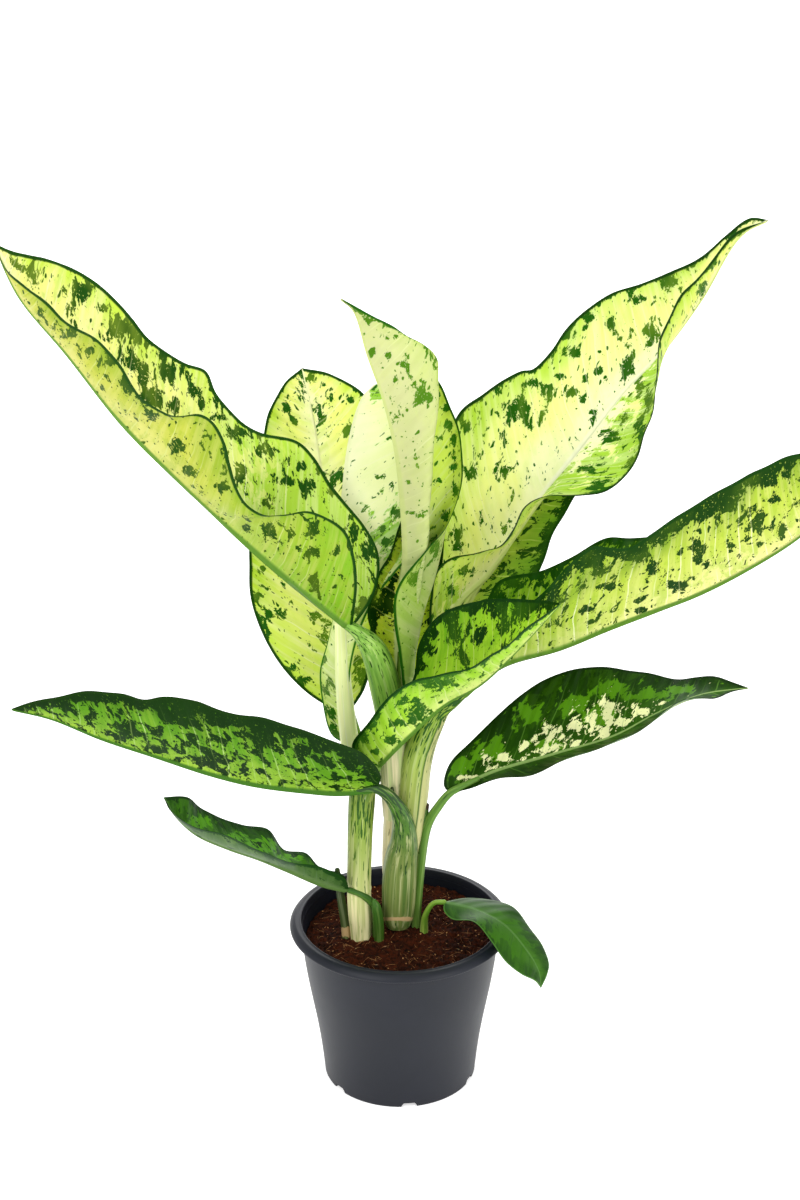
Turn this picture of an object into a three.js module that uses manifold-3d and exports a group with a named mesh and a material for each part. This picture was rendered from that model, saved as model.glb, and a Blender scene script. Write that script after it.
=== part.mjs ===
// Potted dieffenbachia: a nursery pot, its soil and thirteen leaves on two canes. Millimetres, +Z up.
// The origin is the middle of the pot's foot, the viewer stands on -Y and +X is to the right.
import * as THREE from "three";
import { mergeVertices } from "three/addons/utils/BufferGeometryUtils.js";
import Module from "manifold-3d";

const wasm = await Module();
wasm.setup();

// Driving dimensions, in millimetres.
const POT_HEIGHT = 143;
const RIM_RADIUS = 90; // outer edge of the rolled collar
const LIP_RADIUS = 85; // outer edge of the lip's flat top
const MOUTH_RADIUS = 80.5; // inner edge of the lip
const WALL_TOP_RADIUS = 81.4; // outside of the wall, just under the collar
const FOOT_RADIUS = 62.5;
const FOOT_BEVEL = 2.5;
const WALL = 1.8;
const WALL_SWELL = 0.9; // how far the wall leaves a straight taper
const WALL_LEVELS = 5;
const FLOOR = 2.4;
const COLLAR_HEIGHT = 6.5;
const DRAIN_COUNT = 6;
const DRAIN_WIDTH = 13;
const DRAIN_HEIGHT = 4;
const DRAIN_START = THREE.MathUtils.degToRad(-83); // the notch that faces the viewer
const SOIL_LEVEL = 123; // lowest part of the soil's surface
const SOIL_MOUND = 9; // how far it rises towards the back right
const SOIL_RADIUS = 77.3; // of its surface
const CANE_ROOT = 35; // how far a cane runs on below the place where it leaves the soil
const SHOOT_ROOT = 25; // and a smaller stem
const SEAT = 4; // how far a petiole runs on into the foot of its blade
const GAP = 0.3; // between pieces that touch
const BLADE_THICKNESS = 1;
const RIB_DEPTH = 3; // how far a midrib stands out under the blade, at the petiole
const ACROSS = [0, 0.12, 0.45, 0.75, 1]; // places across each half of a blade, from midrib to margin
const STEM_SIDES = 10;
const POT_SIDES = 48;

// The photo's camera, fitted to the rim and the foot of the pot. Outlines below are places read off the
// photo: [across, down, depth], in pixels from its top left corner, with millimetres behind the pot's axis.
const CAMERA_DISTANCE = 2209; // in front of the pot's axis
const CAMERA_HEIGHT = 1486;
const CAMERA_PITCH = THREE.MathUtils.degToRad(25.54); // how far it looks down
const FOCAL_LENGTH = 3150; // in pixels
const PHOTO_MIDDLE = { across: 400, down: 600 };

// ---------------------------------------------------------------- places in the photo

// Where the line of sight through a place in the photo reaches its depth, in millimetres.
function inSpace([across, down, depth]) {
  const right = (across - PHOTO_MIDDLE.across) / FOCAL_LENGTH;
  const below = (down - PHOTO_MIDDLE.down) / FOCAL_LENGTH;
  const forward = Math.cos(CAMERA_PITCH) - below * Math.sin(CAMERA_PITCH);
  const fall = Math.sin(CAMERA_PITCH) + below * Math.cos(CAMERA_PITCH);
  const reach = (depth + CAMERA_DISTANCE) / forward;
  return new THREE.Vector3(right * reach, depth, CAMERA_HEIGHT - fall * reach);
}

// A line of a leaf in space. lean is how much further back the tip lies than its depth says.
function leafLine(places, base, tip, lean) {
  const along = [tip[0] - base[0], tip[1] - base[1]];
  const length2 = along[0] ** 2 + along[1] ** 2;
  return places.map(([across, down, depth]) => {
    const dot = (across - base[0]) * along[0] + (down - base[1]) * along[1];
    const share = THREE.MathUtils.clamp(dot / length2, 0, 1);
    return inSpace([across, down, depth + lean * share ** 1.2]);
  });
}

// A stem's line from [across, down, depth, radius] places, with a root straight down from its first
// place and a seat straight on from its last.
function stemLine(places, { root = 0, seat = 0 }) {
  const line = places.map((place) => ({ point: inSpace(place), radius: place[3] }));
  if (root) {
    const foot = line[0];
    const point = foot.point.clone().setZ(foot.point.z - root);
    line.unshift({ point, radius: 0.93 * foot.radius });
  }
  if (seat) {
    const end = line[line.length - 1];
    const way = end.point.clone().sub(line[line.length - 2].point).setLength(seat);
    line.push({ point: end.point.clone().add(way), radius: 0.9 * end.radius });
  }
  return line;
}

// ---------------------------------------------------------------- curves and bodies

function spaced(points, steps) {
  return new THREE.CatmullRomCurve3(points, false, "centripetal").getSpacedPoints(steps);
}

function directionAt(line, i) {
  const before = line[Math.max(i - 1, 0)];
  const after = line[Math.min(i + 1, line.length - 1)];
  return after.clone().sub(before).normalize();
}

// One closed body through rings of equal length; each end closes in a fan to its own point.
function loft(rings, first, last) {
  const count = rings[0].length;
  const points = [first, ...rings.flat(), last];
  const index = [];
  const at = (ring, k) => 1 + ring * count + (k % count);
  for (let k = 0; k < count; k++) {
    index.push(0, at(0, k + 1), at(0, k));
    index.push(points.length - 1, at(rings.length - 1, k), at(rings.length - 1, k + 1));
    for (let ring = 0; ring + 1 < rings.length; ring++) {
      index.push(at(ring, k), at(ring, k + 1), at(ring + 1, k));
      index.push(at(ring, k + 1), at(ring + 1, k + 1), at(ring + 1, k));
    }
  }
  const geometry = new THREE.BufferGeometry().setFromPoints(points);
  geometry.setIndex(index);
  return geometry;
}

function solidOf(geometry) {
  const bare = geometry.clone();
  bare.deleteAttribute("normal");
  bare.deleteAttribute("uv");
  const merged = mergeVertices(bare, 1e-3);
  const triVerts = new Uint32Array(merged.index.array);
  const vertProperties = merged.attributes.position.array;
  const solid = new wasm.Manifold(new wasm.Mesh({ numProp: 3, vertProperties, triVerts }));
  if (solid.volume() > 0) return solid;
  for (let i = 0; i < triVerts.length; i += 3) {
    [triVerts[i + 1], triVerts[i + 2]] = [triVerts[i + 2], triVerts[i + 1]];
  }
  return new wasm.Manifold(new wasm.Mesh({ numProp: 3, vertProperties, triVerts }));
}

function geometryOf(solid) {
  const mesh = solid.getMesh();
  const geometry = new THREE.BufferGeometry();
  geometry.setAttribute("position", new THREE.BufferAttribute(mesh.vertProperties, 3));
  geometry.setIndex(new THREE.BufferAttribute(mesh.triVerts, 1));
  geometry.computeVertexNormals();
  return geometry;
}

function largestOf(solid) {
  return solid.decompose().sort((a, b) => b.volume() - a.volume())[0];
}

// ---------------------------------------------------------------- stems

// A round stem along a line of points with radii. grow widens and lengthens it, for cutting a seat.
function stem(line, steps, grow = 0) {
  const curve = new THREE.CatmullRomCurve3(
    line.map(({ point }) => point),
    false,
    "centripetal",
  );
  const rings = [];
  let side = new THREE.Vector3(1, 0, 0);
  for (let i = 0; i <= steps; i++) {
    const t = curve.getUtoTmapping(i / steps);
    const centre = curve.getPoint(t);
    const along = curve.getTangent(t);
    const place = t * (line.length - 1);
    const from = Math.min(Math.floor(place), line.length - 2);
    const radius = THREE.MathUtils.lerp(line[from].radius, line[from + 1].radius, place - from) + grow;
    if (i === 0) centre.addScaledVector(along, -grow);
    if (i === steps) centre.addScaledVector(along, grow);
    side = side.clone().addScaledVector(along, -side.dot(along)).normalize();
    const other = along.clone().cross(side);
    const ring = [];
    for (let k = 0; k < STEM_SIDES; k++) {
      const angle = (2 * Math.PI * k) / STEM_SIDES;
      ring.push(
        centre
          .clone()
          .addScaledVector(side, radius * Math.cos(angle))
          .addScaledVector(other, radius * Math.sin(angle)),
      );
    }
    rings.push({ centre, ring });
  }
  return loft(
    rings.map((r) => r.ring),
    rings[0].centre,
    rings[steps].centre,
  );
}

// ---------------------------------------------------------------- leaf blades

// A point a share v across one half: a bowed line from midrib to margin, or one through an inner rail.
function acrossHalf(midrib, inner, margin, normal, bow, v) {
  const middle = midrib.clone().add(margin).multiplyScalar(0.5);
  const pull = inner
    ? inner.clone().multiplyScalar(2).sub(middle)
    : middle.addScaledVector(normal, -bow * midrib.distanceTo(margin));
  return midrib
    .clone()
    .multiplyScalar((1 - v) ** 2)
    .addScaledVector(pull, 2 * v * (1 - v))
    .addScaledVector(margin, v ** 2);
}

// The grid of one half of a blade. turn is 1 for the half on the right of the upper face, -1 on the left.
function halfGrid(midrib, rails, bow, turn, steps) {
  const inner = rails.length > 1 ? spaced(rails[0], steps) : null;
  const margin = spaced(rails[rails.length - 1], steps);
  return midrib.map((centre, i) => {
    const out = margin[i].clone().sub(centre);
    const normal = out.cross(directionAt(midrib, i)).multiplyScalar(turn).normalize();
    return ACROSS.map((v) => acrossHalf(centre, inner && inner[i], margin[i], normal, bow, v));
  });
}

function faceNormal(grid, i, j, turn) {
  const along = grid[i + 1][j].clone().sub(grid[i - 1][j]);
  const before = grid[i][Math.max(j - 1, 0)];
  const after = grid[i][Math.min(j + 1, ACROSS.length - 1)];
  return after.clone().sub(before).cross(along).multiplyScalar(turn).normalize();
}

// The two faces of one half at station i, each listed from midrib to margin.
function facesAt(grid, i, turn, share, grow, midNormal) {
  const over = [];
  const under = [];
  for (let j = 0; j < ACROSS.length; j++) {
    const normal = j === 0 && midNormal ? midNormal : faceNormal(grid, i, j, turn);
    const point = grid[i][j].clone();
    if (j === ACROSS.length - 1) {
      point.addScaledVector(point.clone().sub(grid[i][j - 1]).normalize(), grow);
    }
    const rib = j === 0 ? RIB_DEPTH * (1 - 0.85 * share) : 0;
    over.push(point.clone().addScaledVector(normal, BLADE_THICKNESS / 2 + grow));
    under.push(point.clone().addScaledVector(normal, -BLADE_THICKNESS / 2 - rib - grow));
  }
  return { over, under };
}

// A blade as one thin closed body, from its midrib and the rails of its two halves.
function blade(leaf, grow = 0) {
  const { steps } = leaf;
  const midrib = spaced(leaf.midrib, steps);
  const left = halfGrid(midrib, leaf.left, leaf.bow[0], -1, steps);
  const right = halfGrid(midrib, leaf.right, leaf.bow[1], 1, steps);
  const rings = [];
  for (let i = 1; i < steps; i++) {
    const share = i / steps;
    const middle = faceNormal(left, i, 0, -1).add(faceNormal(right, i, 0, 1)).normalize();
    const a = facesAt(left, i, -1, share, grow, middle);
    const b = facesAt(right, i, 1, share, grow, middle);
    const over = [...a.over.slice(1).reverse(), ...b.over];
    const under = [...b.under.slice(1).reverse(), ...a.under];
    rings.push([...over, ...under]);
  }
  return loft(rings, midrib[0], midrib[steps]);
}

// A rolled blade: each half is its own thin body and the two are joined along the midrib.
function rolledBlade(leaf, grow = 0) {
  const { steps } = leaf;
  const midrib = spaced(leaf.midrib, steps);
  const halves = [
    [leaf.left, -1],
    [leaf.right, 1],
  ].map(([rails, turn]) => {
    const grid = halfGrid(midrib, rails, 0, turn, steps);
    const rings = [];
    for (let i = 1; i < steps; i++) {
      const { over, under } = facesAt(grid, i, turn, i / steps, grow, null);
      rings.push([...over, ...under.reverse()]);
    }
    return solidOf(loft(rings, midrib[0], midrib[steps]));
  });
  return geometryOf(halves[0].add(halves[1]));
}

// ---------------------------------------------------------------- materials

function leafBright() {
  return new THREE.MeshStandardMaterial({ color: 0xc3d96a, roughness: 0.38, metalness: 0 });
}

function leafDark() {
  return new THREE.MeshStandardMaterial({ color: 0x35702c, roughness: 0.36, metalness: 0 });
}

function leafYoung() {
  return new THREE.MeshStandardMaterial({ color: 0xd5e3a4, roughness: 0.42, metalness: 0 });
}

function stemPale() {
  return new THREE.MeshStandardMaterial({ color: 0xcdd8a0, roughness: 0.45, metalness: 0 });
}

function stemGreen() {
  return new THREE.MeshStandardMaterial({ color: 0x6f9a45, roughness: 0.42, metalness: 0 });
}

function soilBrown() {
  return new THREE.MeshStandardMaterial({ color: 0x4a2413, roughness: 0.95, metalness: 0 });
}

function potPlastic() {
  return new THREE.MeshStandardMaterial({ color: 0x3b4048, roughness: 0.48, metalness: 0 });
}

// ---------------------------------------------------------------- placing

const group = new THREE.Group();
const placed = [];

function addMesh(name, solid, material) {
  const mesh = new THREE.Mesh(geometryOf(solid), material);
  mesh.name = name;
  group.add(mesh);
}

// Adds a piece after cutting it back by the gap from every piece that is already there.
function place(name, make, material) {
  let solid = solidOf(make(0));
  for (const other of placed) solid = solid.subtract(other);
  addMesh(name, largestOf(solid), material);
  placed.push(solidOf(make(GAP)));
}

function placeStem(name, places, ends, steps, material) {
  const line = stemLine(places, ends);
  place(name, (grow) => stem(line, steps, grow), material);
}

// The lines of a leaf in space. left and right are rails as seen on the upper face: the margin alone, or
// an inner rail and then the margin, each without the base and the tip that they share with the midrib.
function leafInSpace({ base, tip, midrib, left, right, lean = 0, bow, steps }) {
  const line = (places) => leafLine([base, ...places, tip], base, tip, lean);
  return { midrib: line(midrib), left: left.map(line), right: right.map(line), bow, steps };
}

function placeBlade(name, leaf, material) {
  const lines = leafInSpace(leaf);
  place(name, (grow) => blade(lines, grow), material);
}

// ---------------------------------------------------------------- the left shoot

function leftShoot() {
  const cane = [
    [361, 935, -4, 8.2], [361, 910, -5, 9], [360, 880, -5, 9.6], [361, 840, -5, 9.8], [363, 797, -4, 9.6],
  ];
  placeStem("cane_left", cane, { root: CANE_ROOT }, 12, stemPale());
  const thickPetiole = [[363, 797, -4, 9.3], [352, 755, -1, 7.8], [344, 690, 4, 6.5], [341, 622, 13, 4.8]];
  placeStem("petiole_centre_back", thickPetiole, {}, 10, stemPale());
  const oldSheath = [[346, 930, -2, 3.8], [341, 897, 0, 3.4], [337, 868, 0, 2]];
  placeStem("sheath_old", oldSheath, { root: SHOOT_ROOT }, 8, stemGreen());
  const frontPetiole = [[366, 797, -8, 6], [371, 781, -14, 4.8], [376, 768, -18, 4]];
  placeStem("petiole_front_mid", frontPetiole, { seat: SEAT }, 6, stemGreen());
  const backPetiole = [[366, 807, 6, 4], [361, 753, 24, 4], [350, 712, 38, 3.6]];
  placeStem("petiole_left_back", backPetiole, { seat: SEAT }, 8, stemGreen());
}

// ---------------------------------------------------------------- the centre shoot

function centreShoot() {
  const cane = [
    [397, 928, 11, 9.4], [398, 915, 9, 10.5], [399, 880, 8, 13], [399, 840, 8, 13.2], [398, 800, 8, 11.5],
  ];
  placeStem("cane_centre", cane, { root: CANE_ROOT }, 12, stemPale());
  const toLeftLong = [
    [397, 800, 7, 10.5], [394, 750, 4, 10.5], [388, 700, -2, 10.5], [376, 660, -8, 8.5],
    [362, 638, -11, 6], [352, 629, -12, 4.4],
  ];
  placeStem("petiole_left_long", toLeftLong, {}, 12, stemGreen());
  const toRightLong = [
    [404, 855, 2, 9], [412, 800, -2, 12], [418, 757, -4, 11.5], [430, 728, -4, 10],
    [444, 708, -3, 7.5], [456, 700, -2, 5],
  ];
  placeStem("petiole_right_long", toRightLong, { seat: SEAT }, 12, stemPale());
  const toRightTop = [[407, 782, 16, 6], [415, 720, 17, 6], [432, 650, 20, 4.8]];
  placeStem("petiole_right_top", toRightTop, { seat: SEAT }, 8, stemGreen());
  const toRightBack = [[410, 792, 22, 5], [425, 716, 29, 5], [440, 655, 32, 4]];
  placeStem("petiole_right_back", toRightBack, { seat: SEAT }, 8, stemGreen());
  const toInner = [[393, 783, 18, 4.5], [390, 715, 19, 4.5], [396, 672, 12, 3.6]];
  placeStem("petiole_centre_inner", toInner, { seat: SEAT }, 8, stemGreen());
  const toYoung = [[406, 780, 6, 5], [406, 734, 4, 5], [407, 700, 0, 4]];
  placeStem("petiole_new_centre", toYoung, { seat: SEAT }, 6, stemPale());
  const toLeftLower = [
    [402, 864, -6, 8.5], [405, 836, -12, 9], [400, 811, -22, 6.5], [389, 795, -33, 4.6], [378, 787, -38, 4],
  ];
  placeStem("petiole_left_lower", toLeftLower, { seat: 1 }, 10, stemGreen());
  const toRightLower = [
    [416, 920, 6, 4], [418, 890, 6, 4], [421, 860, 3, 4], [427, 826, -2, 4], [438, 807, -9, 3.6],
    [450, 793, -14, 3],
  ];
  placeStem("petiole_right_lower", toRightLower, { root: SHOOT_ROOT, seat: SEAT / 2 }, 12, stemGreen());
}

// ---------------------------------------------------------------- the two offsets

function offsets() {
  const left = [[378, 932, -6, 4.6], [375, 907, -9, 3.6], [362, 895, -14, 2.8], [349, 890, -15, 2.4]];
  placeStem("shoot_small_left", left, { root: SHOOT_ROOT, seat: SEAT / 2 }, 9, stemGreen());
  const right = [[424, 930, -1, 3.4], [426, 914, -4, 2.4], [434, 903, -5, 2], [444, 902, -6, 2]];
  placeStem("shoot_small_right", right, { root: SHOOT_ROOT, seat: SEAT / 2 }, 9, stemGreen());
}

// ---------------------------------------------------------------- the large leaves

const leftLong = {
  base: [352, 629, -12],
  tip: [-6, 243, -58],
  midrib: [
    [293, 582, -22], [249, 544, -30], [176, 476, -38], [123, 423, -44], [67, 353, -50], [20, 297, -54],
  ],
  left: [[
    [356, 585, -34], [331, 520, -58], [270, 517, -66], [235, 475, -70], [204, 416, -76], [164, 413, -78],
    [129, 379, -80], [88, 341, -78], [29, 290, -66], [4, 268, -60],
  ]],
  right: [[
    [372, 604, -4], [379, 560, 6], [355, 520, 10], [314, 473, 12], [270, 435, 12], [226, 406, 6],
    [173, 356, -4], [123, 309, -14], [76, 271, -28], [30, 256, -42],
  ]],
  lean: -55,
  bow: [0.12, 0.14],
  steps: 22,
};

const leftBack = {
  base: [350, 712, 38],
  tip: [302, 368, 118],
  midrib: [[346, 660, 48], [336, 570, 68], [322, 480, 92], [312, 415, 108]],
  left: [[
    [320, 702, 36], [283, 668, 36], [254, 612, 44], [249, 560, 54], [256, 490, 72], [268, 415, 92],
    [285, 383, 106],
  ]],
  right: [[
    [364, 690, 42], [371, 664, 50], [374, 600, 62], [380, 520, 76], [382, 450, 90], [366, 397, 104],
    [330, 374, 114],
  ]],
  lean: 25,
  bow: [0.08, 0.08],
  steps: 14,
};

const centreBack = {
  base: [348, 745, 0],
  tip: [376, 384, 48],
  midrib: [[344, 690, 6], [341, 622, 14], [341, 560, 22], [344, 492, 30], [350, 440, 38], [362, 400, 44]],
  left: [[
    [352, 660, 2], [366, 600, 6], [390, 565, 10], [412, 545, 14], [424, 490, 20], [418, 430, 30],
    [398, 392, 42],
  ]],
  right: [[
    [332, 735, 6], [323, 705, 12], [320, 672, 18], [328, 640, 24], [346, 560, 38], [352, 490, 52],
    [362, 430, 54], [370, 398, 52],
  ]],
  bow: [0.08, 0.1],
  steps: 16,
};

const newCentre = {
  base: [407, 700, 0],
  tip: [340, 298, -14],
  midrib: [
    [403, 650, 2], [402, 600, 0], [406, 558, -6], [402, 488, -10], [396, 444, -12], [384, 397, -12],
    [369, 356, -12], [354, 310, -12],
  ],
  left: [
    [
      [409, 698, -3], [412, 650, -6], [418, 600, -10], [427, 541, -18], [429, 503, -20], [432, 444, -24],
      [433, 400, -26], [420, 360, -24], [385, 330, -20],
    ],
    [
      [410, 698, 0], [410, 650, 0], [414, 600, 0], [420, 541, 0], [422, 503, 2], [424, 444, 0],
      [428, 395, -8], [438, 358, -16], [400, 331, -19],
    ],
  ],
  right: [
    [
      [411, 698, -3], [416, 652, -6], [424, 612, -4], [434, 580, 2], [442, 545, 8], [446, 500, 14],
      [444, 459, 16], [432, 420, 14], [410, 380, 8], [380, 335, -4],
    ],
    [
      [404, 696, -10], [399, 652, -16], [394, 621, -20], [396, 592, -22], [428, 547, -18], [444, 531, -10],
      [456, 506, 0], [463, 459, 8], [457, 425, 10], [437, 380, 8], [400, 345, 0],
    ],
  ],
  steps: 18,
};

const rightTop = {
  base: [432, 650, 20],
  tip: [769, 220, 36],
  midrib: [
    [455, 604, 24], [487, 573, 28], [530, 512, 36], [575, 455, 42], [624, 392, 46], [661, 353, 46],
    [700, 300, 44], [740, 236, 40],
  ],
  left: [[
    [436, 590, 34], [440, 500, 52], [457, 416, 64], [504, 379, 68], [531, 371, 70], [554, 347, 72],
    [589, 309, 72], [636, 286, 68], [701, 258, 58], [725, 238, 48], [749, 218, 40],
  ]],
  right: [[
    [427, 610, 2], [433, 573, -16], [470, 552, -24], [500, 547, -24], [526, 508, -18], [545, 498, -16],
    [604, 492, -18], [640, 455, -14], [655, 400, -6], [659, 345, 8], [680, 297, 20], [705, 270, 28],
    [735, 233, 38],
  ]],
  lean: 60,
  bow: [0.1, 0.1],
  steps: 22,
};

const rightBack = {
  base: [440, 655, 32],
  tip: [600, 430, 80],
  midrib: [[475, 590, 48], [510, 535, 60], [550, 480, 70]],
  left: [[[455, 590, 60], [490, 520, 76], [540, 460, 84]]],
  right: [[[500, 640, 26], [538, 575, 34], [552, 537, 42], [568, 508, 52], [590, 470, 64]]],
  bow: [0.08, 0.08],
  steps: 12,
};

const centreInner = {
  base: [396, 672, 12],
  tip: [420, 450, 20],
  midrib: [[398, 620, 14], [404, 560, 16], [412, 500, 18]],
  left: [[[374, 640, 4], [368, 612, 2], [380, 585, 4], [404, 556, 4], [414, 500, 12]]],
  right: [[[418, 640, 12], [428, 590, 16], [438, 530, 22], [436, 480, 24]]],
  bow: [0.1, 0.1],
  steps: 12,
};

const rightLong = {
  base: [456, 700, -2],
  tip: [872, 466, -46],
  midrib: [
    [500, 665, -10], [560, 647, -20], [606, 628, -26], [659, 608, -32], [698, 593, -36], [744, 570, -40],
    [796, 538, -44], [840, 500, -46],
  ],
  left: [[
    [470, 640, 10], [488, 598, 10], [500, 580, 8], [540, 571, 4], [570, 558, 2], [606, 538, 0],
    [632, 538, 0], [680, 532, 0], [730, 510, -4], [790, 485, -12], [840, 465, -28],
  ]],
  right: [[
    [478, 655, -18], [505, 620, -32], [537, 598, -42], [571, 563, -48], [593, 547, -52], [629, 548, -58],
    [652, 533, -60], [698, 503, -62], [756, 471, -66], [796, 454, -66], [840, 450, -58],
  ]],
  lean: -55,
  bow: [0.12, 0.12],
  steps: 20,
};

// ---------------------------------------------------------------- the lower leaves

const frontMid = {
  base: [376, 768, -18],
  tip: [561, 603, -78],
  midrib: [[408, 736, -30], [446, 703, -41], [479, 685, -50], [512, 655, -62]],
  left: [[
    [392, 720, -14], [413, 678, -10], [419, 643, -8], [441, 614, -14], [484, 600, -26], [537, 600, -52],
  ]],
  right: [[
    [352, 750, -22], [371, 719, -40], [396, 690, -58], [423, 678, -70], [468, 668, -80], [509, 643, -84],
    [529, 626, -84],
  ]],
  lean: -10,
  bow: [0.12, 0.12],
  steps: 16,
};

const leftLower = {
  base: [378, 787, -38],
  tip: [11, 709, -78],
  midrib: [
    [340, 791, -44], [306, 789, -50], [255, 783, -58], [212, 773, -64], [152, 754, -70], [102, 738, -74],
    [51, 718, -76],
  ],
  left: [[
    [381, 776, -46], [365, 755, -62], [347, 746, -70], [314, 734, -78], [268, 719, -86], [222, 711, -90],
    [194, 700, -94], [163, 697, -94], [143, 699, -94], [122, 694, -92], [91, 691, -90], [55, 697, -86],
    [28, 703, -81],
  ]],
  right: [[
    [376, 772, -20], [350, 760, -8], [306, 748, -4], [250, 735, -6], [190, 722, -14], [120, 712, -30],
    [50, 706, -60],
  ]],
  lean: -30,
  bow: [0.12, 0.12],
  steps: 20,
};

const rightLower = {
  base: [450, 793, -14],
  tip: [749, 688, -42],
  midrib: [[491, 773, -20], [556, 754, -28], [615, 736, -34], [656, 714, -38], [700, 695, -40]],
  left: [[
    [444, 786, -8], [449, 765, 0], [470, 742, 8], [521, 695, 14], [550, 677, 16], [590, 667, 14],
    [635, 671, 8], [680, 679, -6], [714, 676, -24], [732, 682, -34],
  ]],
  right: [[
    [470, 788, -26], [500, 779, -42], [530, 775, -54], [575, 756, -66], [615, 742, -72], [650, 724, -70],
    [679, 701, -62], [715, 698, -52], [732, 692, -46],
  ]],
  lean: 50,
  bow: [0.1, 0.1],
  steps: 18,
};

const smallLeft = {
  base: [349, 890, -15],
  tip: [164, 797, -38],
  midrib: [
    [323, 884, -20], [286, 869, -28], [258, 858, -32], [228, 848, -36], [196, 834, -38], [175, 815, -38],
  ],
  left: [[
    [345, 879, -26], [320, 867, -38], [290, 862, -46], [262, 852, -52], [228, 836, -56], [190, 825, -52],
    [170, 810, -44],
  ]],
  right: [[
    [343, 875, -4], [320, 867, 2], [306, 853, 6], [284, 850, 6], [268, 829, 8], [242, 825, 4],
    [204, 810, -8], [187, 797, -22],
  ]],
  lean: -10,
  bow: [0.1, 0.1],
  steps: 16,
};

const smallRight = {
  base: [444, 902, -6],
  tip: [541, 988, -52],
  midrib: [[477, 910, -18], [503, 924, -30], [524, 947, -42], [538, 970, -48]],
  left: [[
    [468, 898, 4], [497, 901, 4], [514, 908, -4], [530, 928, -16], [543, 947, -28], [549, 964, -38],
    [547, 975, -46],
  ]],
  right: [[
    [444, 911, -16], [452, 919, -26], [474, 922, -40], [491, 941, -54], [506, 962, -62], [521, 974, -62],
    [535, 981, -56],
  ]],
  bow: [-0.08, -0.08],
  steps: 14,
};

function blades() {
  const rolled = leafInSpace(newCentre);
  place("leaf_new_centre", (grow) => rolledBlade(rolled, grow), leafYoung());
  placeBlade("leaf_centre_back", centreBack, leafYoung());
  placeBlade("leaf_left_long", leftLong, leafBright());
  placeBlade("leaf_front_mid", frontMid, leafBright());
  placeBlade("leaf_right_long", rightLong, leafBright());
  placeBlade("leaf_right_top", rightTop, leafBright());
  placeBlade("leaf_right_back", rightBack, leafBright());
  placeBlade("leaf_centre_inner", centreInner, leafBright());
  placeBlade("leaf_left_back", leftBack, leafBright());
  placeBlade("leaf_left_lower", leftLower, leafDark());
  placeBlade("leaf_right_lower", rightLower, leafDark());
  placeBlade("leaf_small_left", smallLeft, leafDark());
  placeBlade("leaf_small_right", smallRight, leafDark());
}

// ---------------------------------------------------------------- the pot and its soil

// The wall's outer face, from the foot's bevel to the collar: a taper with a slight double curve.
function outerWall() {
  const height = POT_HEIGHT - COLLAR_HEIGHT - FOOT_BEVEL;
  return Array.from({ length: WALL_LEVELS + 1 }, (_, level) => {
    const share = level / WALL_LEVELS;
    const taper = THREE.MathUtils.lerp(FOOT_RADIUS, WALL_TOP_RADIUS, share);
    return [taper - WALL_SWELL * Math.sin(2 * Math.PI * share), FOOT_BEVEL + height * share];
  });
}

function innerWall() {
  const wall = outerWall().map(([radius, height]) => [radius - WALL, height]);
  wall[0][1] = FLOOR;
  return wall;
}

function latheOf(profile) {
  return new THREE.LatheGeometry(
    profile.map(([radius, height]) => new THREE.Vector2(radius, height)),
    POT_SIDES,
  ).rotateX(Math.PI / 2);
}

function drainCutter(k) {
  const box = new THREE.BoxGeometry(14, DRAIN_WIDTH, 2 * DRAIN_HEIGHT);
  box.translate(FOOT_RADIUS - 4, 0, 0);
  return solidOf(box.rotateZ(DRAIN_START + (2 * Math.PI * k) / DRAIN_COUNT));
}

function potSolid() {
  const collar = [
    [RIM_RADIUS - 0.4, POT_HEIGHT - COLLAR_HEIGHT],
    [RIM_RADIUS, POT_HEIGHT - COLLAR_HEIGHT + 1],
    [RIM_RADIUS - 1, POT_HEIGHT - 2.6],
    [LIP_RADIUS, POT_HEIGHT],
    [MOUTH_RADIUS + 0.8, POT_HEIGHT],
    [MOUTH_RADIUS, POT_HEIGHT - 1],
  ];
  const foot = [[0, 0], [FOOT_RADIUS - 2, 0]];
  const profile = [...foot, ...outerWall(), ...collar, ...innerWall().reverse(), [0, FLOOR]];
  let pot = solidOf(latheOf(profile));
  for (let k = 0; k < DRAIN_COUNT; k++) pot = pot.subtract(drainCutter(k));
  return pot;
}

// Height of the soil's surface: low at the front left, rising to the back right, a little uneven.
function soilHeight(x, y) {
  const rise = THREE.MathUtils.smoothstep(0.6 * x + 0.8 * y, -30, 70);
  return SOIL_LEVEL + SOIL_MOUND * rise + 0.8 * Math.sin(x / 9) * Math.cos(y / 11);
}

function soilRing(radius, heightOf) {
  return Array.from({ length: POT_SIDES }, (_, k) => {
    const angle = (2 * Math.PI * k) / POT_SIDES;
    const x = radius * Math.cos(angle);
    const y = radius * Math.sin(angle);
    return new THREE.Vector3(x, y, heightOf(x, y));
  });
}

function soilGeometry() {
  const wall = innerWall().filter(([, height]) => height < SOIL_LEVEL - 4);
  wall[0][1] += GAP;
  const sides = wall.map(([radius, height]) => soilRing(radius - GAP, () => height));
  const surface = [1, 0.75, 0.49, 0.23].map((share) => soilRing(share * SOIL_RADIUS, soilHeight));
  const bottom = new THREE.Vector3(0, 0, FLOOR + GAP);
  return loft([...sides, ...surface], bottom, new THREE.Vector3(0, 0, soilHeight(0, 0)));
}

function pot() {
  addMesh("pot", potSolid(), potPlastic());
}

function soil() {
  let solid = solidOf(soilGeometry());
  for (const other of placed) solid = solid.subtract(other);
  addMesh("soil", largestOf(solid), soilBrown());
}

leftShoot();
centreShoot();
offsets();
blades();
pot();
soil();

export default group;
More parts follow.
